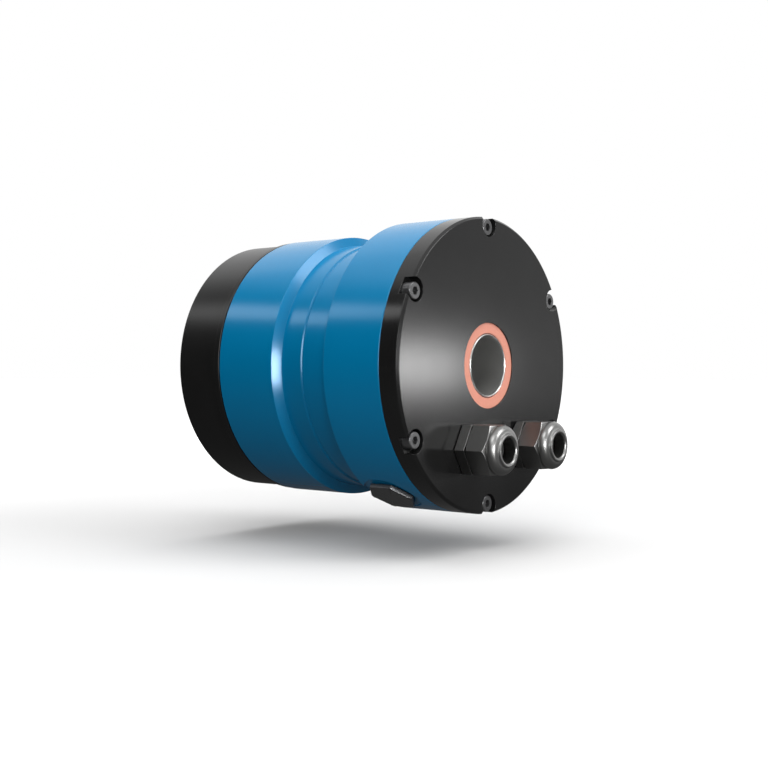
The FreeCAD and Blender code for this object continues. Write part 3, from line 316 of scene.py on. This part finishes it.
def hexagon(name, start, end, flats, y=0.0, z=0.0):
    """Hexagonal bar along X with two corners level, to either side."""
    corner = flats / math.sqrt(3)
    shape = bmesh.new()
    near, far = [[
        shape.verts.new((x * MM, (y + corner * math.cos(math.radians(60 * k))) * MM,
                         (z + corner * math.sin(math.radians(60 * k))) * MM))
        for k in range(6)] for x in (start, end)]
    shape.faces.new(near)
    shape.faces.new(list(reversed(far)))
    for k in range(6):
        following = (k + 1) % 6
        shape.faces.new((near[k], far[k], far[following], near[following]))
    return piece_from(name, shape)


def baked(made):
    """Replaces an object's mesh by what its modifiers make of it."""
    graph = bpy.context.evaluated_depsgraph_get()
    mesh = bpy.data.meshes.new_from_object(made.evaluated_get(graph))
    made.modifiers.clear()
    made.data = mesh


def carve(made, tool, how="DIFFERENCE"):
    """Cuts with a tool, joins it, or keeps what lies in both, and clears what has no size."""
    cut = made.modifiers.new("carve", "BOOLEAN")
    cut.operation = how
    cut.solver = "EXACT"
    cut.object = tool
    baked(made)
    bpy.data.objects.remove(tool)
    shape = bmesh.new()
    shape.from_mesh(made.data)
    bmesh.ops.remove_doubles(shape, verts=shape.verts, dist=SLIVER)
    bmesh.ops.dissolve_degenerate(shape, edges=shape.edges, dist=SLIVER)
    shape.to_mesh(made.data)
    shape.free()


def from_node(node):
    """A merged copy of a CAD node's mesh. Triangles that lie within 0.4 degrees become one
    face."""
    shape = bmesh.new()
    shape.from_mesh(NODES[node].data)
    bmesh.ops.remove_doubles(shape, verts=shape.verts, dist=SAME_CAD_POINT)
    bmesh.ops.dissolve_limit(shape, angle_limit=math.radians(0.4), verts=shape.verts,
                             edges=shape.edges)
    return piece_from(node + "_finished", shape)


def finished(made, nodes, edge, angle=30.0, finish=None):
    """Breaks edges sharper than the angle by edge mm, gives the finish, and sets the piece on
    its body in place of its nodes."""
    made.data.materials.clear()
    made.data.materials.append(finish or FINISHES[SLOTS[nodes[0]]])
    made.data.shade_smooth()
    if edge:
        bevel = made.modifiers.new("edge break", "BEVEL")
        bevel.limit_method = "ANGLE"
        bevel.angle_limit = math.radians(angle)
        bevel.width = edge * MM
        bevel.segments = 2
        bevel.harden_normals = True
        bevel.use_clamp_overlap = False
    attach(made, BODIES[nodes[0]])
    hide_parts(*nodes)


# ---- Housing, output ring and cover ----

# The cover's screws: how many, the angle of the first, and the circle of their threads.
COVER_SCREWS, COVER_SCREWS_START, COVER_THREADS = 6, 30, 57.85
# The service plug: its angle about the shaft line, the radii of the flat that is milled for its
# gasket, of its head's underside and of its head's top, and the radius of its threaded hole.
PLUG_ANGLE, PLUG_FLAT, PLUG_SEAT, PLUG_TOP, PLUG_HOLE = 240, 60.6, 61.0, 63.0, 6.0
# Radius of the neck between the drums.
NECK = 54.0


def drill(start, end, radius, y=0.0, z=0.0, sides=192):
    """Round bar along X, to cut a hole with or to join."""
    return turned("drill", [(start, 0), (start, radius), (end, radius), (end, 0)], y, z, sides)


def holes(made, start, end, radius, count, circle, first_angle=0.0, sides=48):
    """Drills a circle of round holes along X."""
    for k in range(count):
        angle = math.radians(first_angle + 360 * k / count)
        carve(made, drill(start, end, radius, circle * math.cos(angle),
                          circle * math.sin(angle), sides))


def output_ring():
    """Output flange: face with its register, bolt holes and dowel holes, ring and lip."""
    low, high = low_corner("output_flange"), high_corner("output_flange")
    lip, end = high.y, high.x
    # The collar's seat, the register, the face, the rim and the lip, then back inside to the
    # hub's end.
    ring = turned("output_ring", [
        (6.0, 13.4), (6.0, 21.05), (3.0, 21.05), (3.0, 31.5), (low.x, 31.5), (low.x, 56.2),
        (0.6, 56.8), (23.6, 56.8), (23.6, lip), (26.1, lip), (26.4, lip - 0.3), (26.4, 53.6),
        (15.0, 53.6), (15.0, 40.0), (21.5, 40.0), (21.5, 33.0), (39.0, 33.0), (39.0, 24.0),
        (end, 24.0), (end, 13.4)])
    bolts, dowels = MOUNTS["output_bolts"]["dims"], MOUNTS["output_dowels"]["dims"]
    holes(ring, -1, 11, bolts["hole_r_mm"], bolts["count"], bolts["pcd_mm"] / 2)
    holes(ring, -1, 8, dowels["hole_r_mm"], dowels["count"], dowels["pcd_mm"] / 2, 15)
    finished(ring, ["output_flange"], 0.12, finish=BLASTED)


def front_shell():
    """Front housing: plain drum, ramp and neck."""
    low, high = low_corner("front_housing"), high_corner("front_housing")
    drum, split = high.y, high.x
    # The front face, the drum, the ramp and the neck, then back through the stepped bore.
    shell = turned("front_shell", [
        (low.x, 49.05), (low.x, 53.0), (26.9, 53.0), (26.9, drum - 0.5), (27.4, drum),
        (58.3, drum), (60.6, NECK), (split - 0.6, NECK), (split, NECK - 0.6), (split, 45.1),
        (69.3, 45.1), (69.3, 42.6), (56.5, 42.6), (56.5, 34.6), (46.0, 34.6), (46.0, 45.0),
        (35.5, 45.0), (35.5, 49.05)])
    finished(shell, ["front_housing"], 0.15)


def plug_place():
    """Frame of the service plug: its own X points out of the drum, its Y along the shaft."""
    low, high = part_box("service_plug")
    bearing = math.radians(PLUG_ANGLE)
    out = Vector((0, math.cos(bearing), math.sin(bearing)))
    along = Vector((1, 0, 0))
    side = out.cross(along)
    return Matrix((
        (out.x, along.x, side.x, (low.x + high.x) / 2),
        (out.y, along.y, side.y, 0),
        (out.z, along.z, side.z, 0),
        (0, 0, 0, 1)))


def rear_shell():
    """Rear housing: neck, drum with the plug's flat seat, and the spigot that centres it."""
    low, high = low_corner("rear_housing"), high_corner("rear_housing")
    drum, seam = high.y, high.x
    # The spigot with its O-ring groove, the neck, the drum and the seam, then back inside over
    # the wall that carries the rotor's bearing.
    shell = turned("rear_shell", [
        (71.8, 23.55), (71.8, 43.2), (low.x, 43.2), (low.x, 45.0), (71.8, 45.0), (71.8, 45.6),
        (72.84, 45.6), (72.84, 47.4), (71.8, 47.4), (71.8, NECK - 0.6), (90.5, NECK - 0.6),
        (90.5, drum - 0.4), (90.9, drum), (seam - 0.4, drum), (seam, drum - 0.4), (seam, 53.1),
        (101.0, 53.1), (101.0, 47.5), (75.8, 47.5), (75.8, 27.5), (83.3, 27.5), (83.3, 21.5),
        (82.3, 21.5), (82.3, 23.55)])
    for start, end, radius in ((PLUG_FLAT, 64.0, 12.5), (54.5, PLUG_SEAT, PLUG_HOLE)):
        cutter = drill(start, end, radius, sides=96)
        cutter.data.transform(plug_place())
        carve(shell, cutter)
    holes(shell, seam - 14, seam + 1, 2.0, COVER_SCREWS, COVER_THREADS, COVER_SCREWS_START, 32)
    finished(shell, ["rear_housing"], 0.15)


def cover_disc():
    """Rear cover: chamfered disc with a wiring pocket, a seal seat and six open notches."""
    low, high = low_corner("rear_cover"), high_corner("rear_cover")
    rim, face = high.y, high.x
    seam = low.x
    # The hub, the pocket, the O-ring groove and the rim, then over the face to the seal's seat.
    disc = turned("rear_cover_disc", [
        (seam, 14.95), (seam, 22.0), (123.3, 22.0), (123.3, 51.5), (seam, 51.5), (seam, 53.4),
        (120.34, 53.4), (120.34, 55.2), (seam, 55.2), (seam, rim), (face - 1.0, rim),
        (face, rim - 1.0), (face, 17.95), (121.0, 17.95), (121.0, 14.95)])
    # First the notches, wider than the cover is there, and then the screws' holes in them.
    for start, end, radius, circle, sides in (
            (face - 4.75, face + 1, 4.9, 58.7, 72),
            (seam - 1, face - 3.75, 2.15, COVER_THREADS, 32)):
        holes(disc, start, end, radius, COVER_SCREWS, circle, COVER_SCREWS_START, sides)
    for number in (1, 2):
        y, z = (MOUNTS["cable_entry_%d" % number]["pos_m"][axis] / MM for axis in (1, 2))
        carve(disc, drill(seam - 1, face + 1, 8.0, y, z, 64))
    finished(disc, ["rear_cover"], 0.15)


output_ring()
front_shell()
rear_shell()
cover_disc()


# ---- Through tube and seal ----

# The screws of the tube's collar: how many, the angle of the first, and their circle.
TUBE_SCREWS, TUBE_SCREWS_START = 4, 45
TUBE_SCREW_CIRCLE = high_corner("through_tube").y - 3.5


def tube_and_seal():
    """Steel tube with its screwed collar, and the slide ring that centres it in the cover."""
    low, high = low_corner("through_tube"), high_corner("through_tube")
    bore = MOUNTS["through_bore"]["dims"]["r_mm"]
    wall, collar = bore + 0.8, low.x + 3.0
    tube = turned("through_tube_steel", [
        (low.x + 0.4, bore), (high.x - 0.4, bore), (high.x, bore + 0.4), (high.x, wall - 0.4),
        (high.x - 0.4, wall), (collar, wall), (collar, high.y), (low.x, high.y),
        (low.x, bore + 0.4)])
    # Cone seats and holes for the collar's screws.
    for k in range(TUBE_SCREWS):
        angle = math.radians(TUBE_SCREWS_START + 360 / TUBE_SCREWS * k)
        carve(tube, turned("seat", [
            (low.x - 0.5, 0), (low.x - 0.5, 3.2), (low.x + 1.15, 1.55), (collar + 1, 1.55),
            (collar + 1, 0)], TUBE_SCREW_CIRCLE * math.cos(angle),
            TUBE_SCREW_CIRCLE * math.sin(angle), 48))
    finished(tube, ["through_tube"], 0.1)
    seal_low, seal_high = low_corner("shaft_seal"), high_corner("shaft_seal")
    inner = wall + 0.25
    finished(turned("shaft_seal_ring", [
        (seal_low.x, inner), (seal_high.x, inner),
        (seal_high.x, seal_high.y), (seal_low.x, seal_high.y),
    ]), ["shaft_seal"], 0.2)


tube_and_seal()


# ---- Cable glands ----

def gland(number):
    """Cable gland: hexagon with its stem, cap nut with a rolled lip, rubber sleeve, gasket."""
    name = "gland_%d_" % number
    low, high = low_corner(name + "nut"), high_corner(name + "nut")
    y, z = (low.y + high.y) / 2, (low.z + high.z) / 2
    corner = (high.y - low.y) / 2
    flats = corner * math.sqrt(3)
    face = flats / 2
    beyond = corner + 0.05
    drop = (corner - face) * math.tan(math.radians(30))
    mouth = MOUNTS["cable_entry_%d" % number]["dims"]["r_mm"]
    # Radii of the threaded stem, of the barrel inside the nut, and of the ways through both.
    stem, barrel, way, wide_way = 7.95, 8.2, 6.0, 7.3
    start, tip = low.x, high.x
    groove = start + 9.3
    nut = hexagon(name + "cap_nut", start, groove, flats, y, z)
    carve(nut, turned("corners", [
        (start, 0), (start, face), (start + drop, beyond), (groove - drop, beyond),
        (groove, face), (groove, 0)], y, z), "INTERSECT")
    # A neck, the dome's quarter turn, and the lip that rolls into the mouth.
    dome = [(groove - 1.0, 4.0), (groove - 1.0, 9.7), (groove + 0.5, 9.7), (groove + 0.5, 10.0)]
    for step in range(11):
        angle = math.radians(90 * step / 10)
        dome.append((groove + 0.9 + 3.1 * math.sin(angle), 7.0 + 3.2 * math.cos(angle) ** 0.9))
    dome += [(tip - 0.12, 6.7), (tip, 6.3), (tip - 0.06, 5.8), (tip - 0.3, 5.4),
             (tip - 0.7, mouth), (tip - 1.2, 4.0)]
    carve(nut, turned("dome", dome, y, z), "UNION")
    inside = start + 8.6
    carve(nut, turned("way", [
        (start - 1, 0), (start - 1, 8.3), (inside, 8.3), (inside, mouth), (tip + 1, mouth),
        (tip + 1, 0)], y, z))
    finished(nut, [name + "nut"], 0.12)

    low, high = low_corner(name + "body"), high_corner(name + "body")
    base = high_corner(name + "gasket").x
    top = start - 0.2
    body = hexagon(name + "base", base, top, flats, y, z)
    carve(body, turned("corners", [
        (base, 0), (base, face - 0.5), (base + 1.2, beyond), (top, beyond), (top, 0)],
        y, z), "INTERSECT")
    carve(body, turned("stem", [
        (low.x, 0), (low.x, stem), (base + 1, stem), (base + 1, barrel), (high.x, barrel),
        (high.x, 0)], y, z), "UNION")
    carve(body, turned("way", [
        (low.x - 1, 0), (low.x - 1, way), (top - 1, way), (top - 1, wide_way),
        (high.x + 1, wide_way), (high.x + 1, 0)], y, z))
    finished(body, [name + "body"], 0.12)

    low, high = low_corner(name + "insert"), high_corner(name + "insert")
    sleeve = turned(name + "sleeve", [
        (low.x, 4.6), (high.x - 1.2, 4.6), (high.x - 0.4, 4.9), (high.x, 5.4), (high.x, 7.28),
        (low.x, 7.28)], y, z, 96)
    finished(sleeve, [name + "insert"], 0.15)
    low, high = low_corner(name + "gasket"), high_corner(name + "gasket")
    washer = turned(name + "washer", [
        (low.x, 8.0), (high.x, 8.0), (high.x, 9.1), (high.x - 0.1, 9.2), (low.x + 0.1, 9.2),
        (low.x, 9.1)], y, z, 96)
    finished(washer, [name + "gasket"], 0)


gland(1)
gland(2)


# ---- Service plug ----

def service_plug():
    """Hexagon head plug in the rear drum, turned down at its corners."""
    low, high = low_corner("service_plug"), high_corner("service_plug")
    corner = (high.x - low.x) / 2
    flats = corner * math.sqrt(3)
    head = hexagon("service_plug_head", PLUG_SEAT, PLUG_TOP, flats)
    carve(head, turned("corners", [
        (PLUG_SEAT, 0), (PLUG_SEAT, corner + 0.1), (PLUG_TOP - 0.4, corner + 0.1),
        (PLUG_TOP, corner - 0.6), (PLUG_TOP, 0)]), "INTERSECT")
    carve(head, drill(PLUG_SEAT - 5.4, PLUG_SEAT + 1, PLUG_HOLE - 0.05), "UNION")
    head.data.transform(plug_place())
    finished(head, ["service_plug"], 0.3)


service_plug()
finished(from_node("service_plug_gasket"), ["service_plug_gasket"], 0.05)


# ---- Screws set on circles ----

def screw_circle_tree():
    """Geometry nodes: copies of one screw on a circle about the shaft line."""
    tree = bpy.data.node_groups.new("screws on a circle", "GeometryNodeTree")
    for side, name, kind in (
            ("INPUT", "Geometry", "Geometry"), ("INPUT", "Screw", "Object"),
            ("INPUT", "Finish", "Material"), ("INPUT", "Count", "Int"),
            ("INPUT", "Circle radius", "Float"), ("INPUT", "First angle", "Float"),
            ("OUTPUT", "Geometry", "Geometry")):
        tree.interface.new_socket(name, in_out=side, socket_type="NodeSocket" + kind)
    given = add(tree, "NodeGroupInput").outputs
    circle = add(tree, "GeometryNodeMeshCircle", None,
                 {"Vertices": given["Count"], "Radius": given["Circle radius"]})
    turn = add(tree, "ShaderNodeCombineXYZ", None, {"Z": given["First angle"]})
    placed = add(tree, "GeometryNodeTransform", None,
                 {"Geometry": circle.outputs["Mesh"], "Rotation": turn.outputs["Vector"]})
    upright = add(tree, "GeometryNodeTransform", None,
                  {"Geometry": placed.outputs["Geometry"],
                   "Rotation": (math.radians(90), 0, math.radians(90))})
    screw = add(tree, "GeometryNodeObjectInfo", None, {"Object": given["Screw"]})
    copies = add(tree, "GeometryNodeInstanceOnPoints", None,
                 {"Points": upright.outputs["Geometry"], "Instance": screw.outputs["Geometry"]})
    real = add(tree, "GeometryNodeRealizeInstances", None,
               {"Geometry": copies.outputs["Instances"]})
    painted = add(tree, "GeometryNodeSetMaterial", None,
                  {"Geometry": real.outputs["Geometry"], "Material": given["Finish"]})
    add(tree, "NodeGroupOutput", None, {"Geometry": painted.outputs["Geometry"]})
    return tree


SCREW_CIRCLE = screw_circle_tree()


def screws_on_circle(name, node, screw, count, radius, first_angle):
    """One mesh of screws on a circle, in place of a CAD node."""
    made = bpy.data.objects.new(name, bpy.data.meshes.new(name))
    bpy.context.scene.collection.objects.link(made)
    circle = made.modifiers.new("circle", "NODES")
    circle.node_group = SCREW_CIRCLE
    values = {"Screw": screw, "Finish": FINISHES[SLOTS[node]], "Count": count,
              "Circle radius": radius * MM, "First angle": math.radians(first_angle)}
    for socket in SCREW_CIRCLE.interface.items_tree:
        if socket.in_out == "INPUT" and socket.name in values:
            circle[socket.identifier] = values[socket.name]
    baked(made)
    bpy.data.objects.remove(screw)
    finished(made, [node], 0.1, 35.0)


def cover_screws():
    """Socket head screws, sunk in the cover's notches: M4, 7 mm heads and a 3 mm key."""
    low, high = low_corner("cover_screws"), high_corner("cover_screws")
    end, top = low.x, high.x
    head, shank = 3.5, 1.95
    seat = top - 4.0
    screw = turned("cap_screw", [
        (end, 0), (end, shank - 0.4), (end + 0.4, shank), (seat, shank), (seat, head),
        (top - 0.35, head), (top, head - 0.35), (top, 0)], sides=72)
    carve(screw, hexagon("socket", top - 2.0, top + 1, 3.0))
    screws_on_circle("cover_cap_screws", "cover_screws", screw, COVER_SCREWS, high.z - head,
                     COVER_SCREWS_START)


def tube_screws():
    """Countersunk screws, cone heads level with the tube's collar and a 2 mm key."""
    low, high = low_corner("through_tube_screws"), high_corner("through_tube_screws")
    screw = turned("countersunk_screw", [
        (low.x, 0), (low.x, 2.7), (low.x + 1.2, 1.5), (high.x - 0.4, 1.45), (high.x, 1.05),
        (high.x, 0)], sides=72)
    carve(screw, hexagon("socket", low.x - 1, low.x + 1.0, 2.0))
    screws_on_circle("tube_screws_set", "through_tube_screws", screw, TUBE_SCREWS,
                     TUBE_SCREW_CIRCLE, TUBE_SCREWS_START)


cover_screws()
tube_screws()


# ---- Inner pieces keep their CAD shape ----

for node, shown in NODES.items():
    if not shown.hide_render:
        shown.data.materials.clear()
        shown.data.materials.append(FINISHES[SLOTS[node]])


# ---- Camera ----

def studio_camera():
    """Camera beside the rear cover, level with the shaft and aimed at the object's middle."""
    data = bpy.data.cameras.new("studio camera")
    data.lens = 55.85
    data.sensor_width = 36.0
    data.clip_start = 0.01
    made = bpy.data.objects.new("studio_camera", data)
    bpy.context.scene.collection.objects.link(made)
    made.location = (0.4064, -0.4161, -0.0005)
    heading, dip = math.radians(51.23), math.radians(0.824)
    look = Vector((-math.cos(heading) * math.cos(dip), math.sin(heading) * math.cos(dip),
                   -math.sin(dip)))
    made.rotation_euler = look.to_track_quat("-Z", "Y").to_euler()
    bpy.context.scene.camera = made


studio_camera()


# ---- Floor, lamps and world ----

MIDDLE = (CAD_LOW + CAD_HIGH) / 2
# The object floats this far above the floor.
HOVER = 15.5 * MM
# Light that the room gives from all sides, where 1 is white.
ROOM_LIGHT = 0.07


def lit_by_view(tree):
    """1 for rays from the camera and for mirror and glass rays, 0 for light."""
    rays = add(tree, "ShaderNodeLightPath").outputs
    direct = add(tree, "ShaderNodeMath", {"operation": "MAXIMUM"},
                 {0: rays["Is Camera Ray"], 1: rays["Is Glossy Ray"]})
    seen = add(tree, "ShaderNodeMath", {"operation": "MAXIMUM"},
               {0: direct.outputs[0], 1: rays["Is Transmission Ray"]})
    return seen.outputs[0]


def studio_floor():
    """Matt white floor that keeps the shadow under the object. From 0.12 to 0.75 m out it fades
    to plain white."""
    material, tree = blank("studio floor, matt white paper")
    place = add(tree, "ShaderNodeTexCoord").outputs["Object"]
    away = add(tree, "ShaderNodeVectorMath", {"operation": "LENGTH"}, {0: place})
    glow = add(tree, "ShaderNodeMapRange", {"interpolation_type": "SMOOTHSTEP"},
               {"Value": away.outputs["Value"], "From Min": 0.12, "From Max": 0.75,
                "To Min": 0.14, "To Max": 1.0})
    seen = add(tree, "ShaderNodeMath", {"operation": "MULTIPLY"},
               {0: lit_by_view(tree), 1: glow.outputs["Result"]})
    shader = add(tree, "ShaderNodeBsdfPrincipled", None, {
        "Base Color": linear("#bdbdbd"), "Roughness": 0.9, "Specular IOR Level": 0.1,
        "Emission Color": WHITE, "Emission Strength": seen.outputs[0]})
    add(tree, "ShaderNodeOutputMaterial", None, {"Surface": shader.outputs["BSDF"]})
    mesh = bpy.data.meshes.new("studio_floor")
    half = 6.0
    corners = [(-half, -half, 0), (half, -half, 0), (half, half, 0), (-half, half, 0)]
    mesh.from_pydata(corners, [], [(0, 1, 2, 3)])
    mesh.materials.append(material)
    floor = bpy.data.objects.new("studio_floor", mesh)
    floor.location = (MIDDLE.x, 0, CAD_LOW.z - HOVER)
    bpy.context.scene.collection.objects.link(floor)


def painted_light_cloth(name, start, left, right, ceiling):
    """Flag that shines by itself: painted light, which reflections show in place of the room's
    light and shade. Its level changes from left to right, from start to 1.3 m along X, and from
    1.25 to
    1.6 m up into the ceiling's, a painted bright ceiling. It is clear from behind, so that the
    floor under it still gets its light."""
    material, tree = blank(name)
    place = add(tree, "ShaderNodeTexCoord").outputs["Object"]
    along = add(tree, "ShaderNodeSeparateXYZ", None, {"Vector": place})
    side = add(tree, "ShaderNodeMapRange", {"interpolation_type": "SMOOTHSTEP"},
               {"Value": along.outputs["X"], "From Min": start, "From Max": 1.3,
                "To Min": left, "To Max": right})
    above = add(tree, "ShaderNodeMapRange", {"interpolation_type": "SMOOTHSTEP"},
                {"Value": along.outputs["Z"], "From Min": 1.25, "From Max": 1.6,
                 "To Min": 0.0, "To Max": ceiling})
    level = add(tree, "ShaderNodeMath", {"operation": "MAXIMUM"},
                {0: side.outputs["Result"], 1: above.outputs["Result"]})
    shine = add(tree, "ShaderNodeEmission", None,
                {"Color": WHITE, "Strength": level.outputs[0]})
    clear = add(tree, "ShaderNodeBsdfTransparent", None, {"Color": WHITE})
    back = add(tree, "ShaderNodeNewGeometry").outputs["Backfacing"]
    mixed = add(tree, "ShaderNodeMixShader", None,
                {0: back, 1: shine.outputs["Emission"], 2: clear.outputs["BSDF"]})
    add(tree, "ShaderNodeOutputMaterial", None, {"Surface": mixed.outputs["Shader"]})
    return material


def painted_light_flags():
    """Painted light: glowing flags round the camera's side of the studio and over the floor,
    dark on the left and paler to the right and overhead, a painted reflection of the room. The
    object reflects them, and the camera doesn't see them. The side behind the object stays
    white."""
    behind = Vector((-0.626, 0.780, 0.0))
    shape = bmesh.new()
    bmesh.ops.create_uvsphere(shape, u_segments=72, v_segments=36, radius=2.0)
    centres = {face: face.calc_center_median() for face in shape.faces}
    spare = [face for face, centre in centres.items()
             if centre.dot(behind) > 0.9 or centre.z < -0.2]
    bmesh.ops.delete(shape, geom=spare, context="FACES")
    # The dome is a painted reflection of the room: dark on the camera's left, paler to the
    # right, brighter overhead.
    dome = piece_from("flag_dome", shape)
    dome.location = MIDDLE
    # The cloth shines on its front, which has to face the object.
    dome.data.flip_normals()
    dome.data.materials.append(painted_light_cloth("studio flag, grey cloth", -0.9, 0.0, 0.43, 0.8))
    # The dark sheet over the floor is painted shade and a painted dark reflection: diffuse
    # light and reflections under the object meet its faint glow in place of the lit floor.
    shape = bmesh.new()
    bmesh.ops.create_circle(shape, cap_ends=True, segments=96, radius=1.9)
    sheet = piece_from("flag_sheet", shape)
    sheet.location = (MIDDLE.x, 0, CAD_LOW.z - HOVER + 0.5 * MM)
    sheet.data.materials.append(painted_light_cloth("studio flag, black cloth", -0.7, 0.0, 0.3, 0.0))
    # Both painted-light glows are hidden from the camera and from shadows; only the sheet is
    # seen by diffuse light.
    for flag in (dome, sheet):
        for seen_by in ("camera", "transmission", "volume_scatter", "shadow"):
            setattr(flag, "visible_" + seen_by, False)
    dome.visible_diffuse = False


def softbox(name, direction, away, width, height, radiance):
    """Rectangular lamp that faces the object's middle from a direction, away metres off. It is
    as bright to look at as radiance says, where 1 is white. The camera doesn't see it."""
    data = bpy.data.lights.new(name, "AREA")
    data.shape = "RECTANGLE"
    data.size = width
    data.size_y = height
    data.energy = radiance * math.pi * width * height
    made = bpy.data.objects.new(name, data)
    bpy.context.scene.collection.objects.link(made)
    aim = Vector(direction).normalized()
    made.location = MIDDLE + aim * away
    made.rotation_euler = (-aim).to_track_quat("-Z", "Y").to_euler()
    made.visible_camera = False
    return made


def studio_world():
    """White to the camera and in reflections, a dim even grey as light."""
    world = bpy.data.worlds.new("studio world")
    bpy.context.scene.world = world
    world.use_nodes = True
    tree = world.node_tree
    tree.nodes.clear()
    dim = add(tree, "ShaderNodeBackground", None, {"Color": WHITE, "Strength": ROOM_LIGHT})
    white = add(tree, "ShaderNodeBackground", None, {"Color": WHITE, "Strength": 1.0})
    mixed = add(tree, "ShaderNodeMixShader", None,
                {0: lit_by_view(tree), 1: dim.outputs["Background"],
                 2: white.outputs["Background"]})
    add(tree, "ShaderNodeOutputWorld", None, {"Surface": mixed.outputs["Shader"]})


studio_floor()
studio_world()
painted_light_flags()
# Light from above and from the front that nothing reflects.
softbox("top_softbox", (0.02, 0.05, 1.0), 0.95, 1.2, 1.2, 3.9).visible_glossy = False
softbox("front_fill", (0.05, -1.0, 0.05), 1.2, 0.9, 0.2, 6.5).visible_glossy = False
# The pale band along the drums, and the broad light on their upper side.
softbox("left_strip", (-0.685, -0.495, 0.535), 1.158, 0.5, 0.15, 2.4)
softbox("key_softbox", (0.32, -0.60, 0.71), 1.2, 0.7, 0.5, 3.0)
# The two highlights on the front housing's ramp.
softbox("ramp_glint", (0.938, -0.346, -0.035), 0.5, 0.07, 0.16, 28.0)
softbox("ramp_crown", (0.72, 0.30, 0.62), 1.1, 0.55, 0.50, 6.0)
# The thin line down the neck's seam.
softbox("seam_glint", (0.70, -0.70, 0.10), 1.25, 0.09, 0.72, 15.0)
# The soft spot on the cover's left.
softbox("cover_glint", (0.673, 0.740, 0.0), 1.09, 0.15, 0.05, 14.5)

bpy.context.scene.view_settings.view_transform = "Standard"
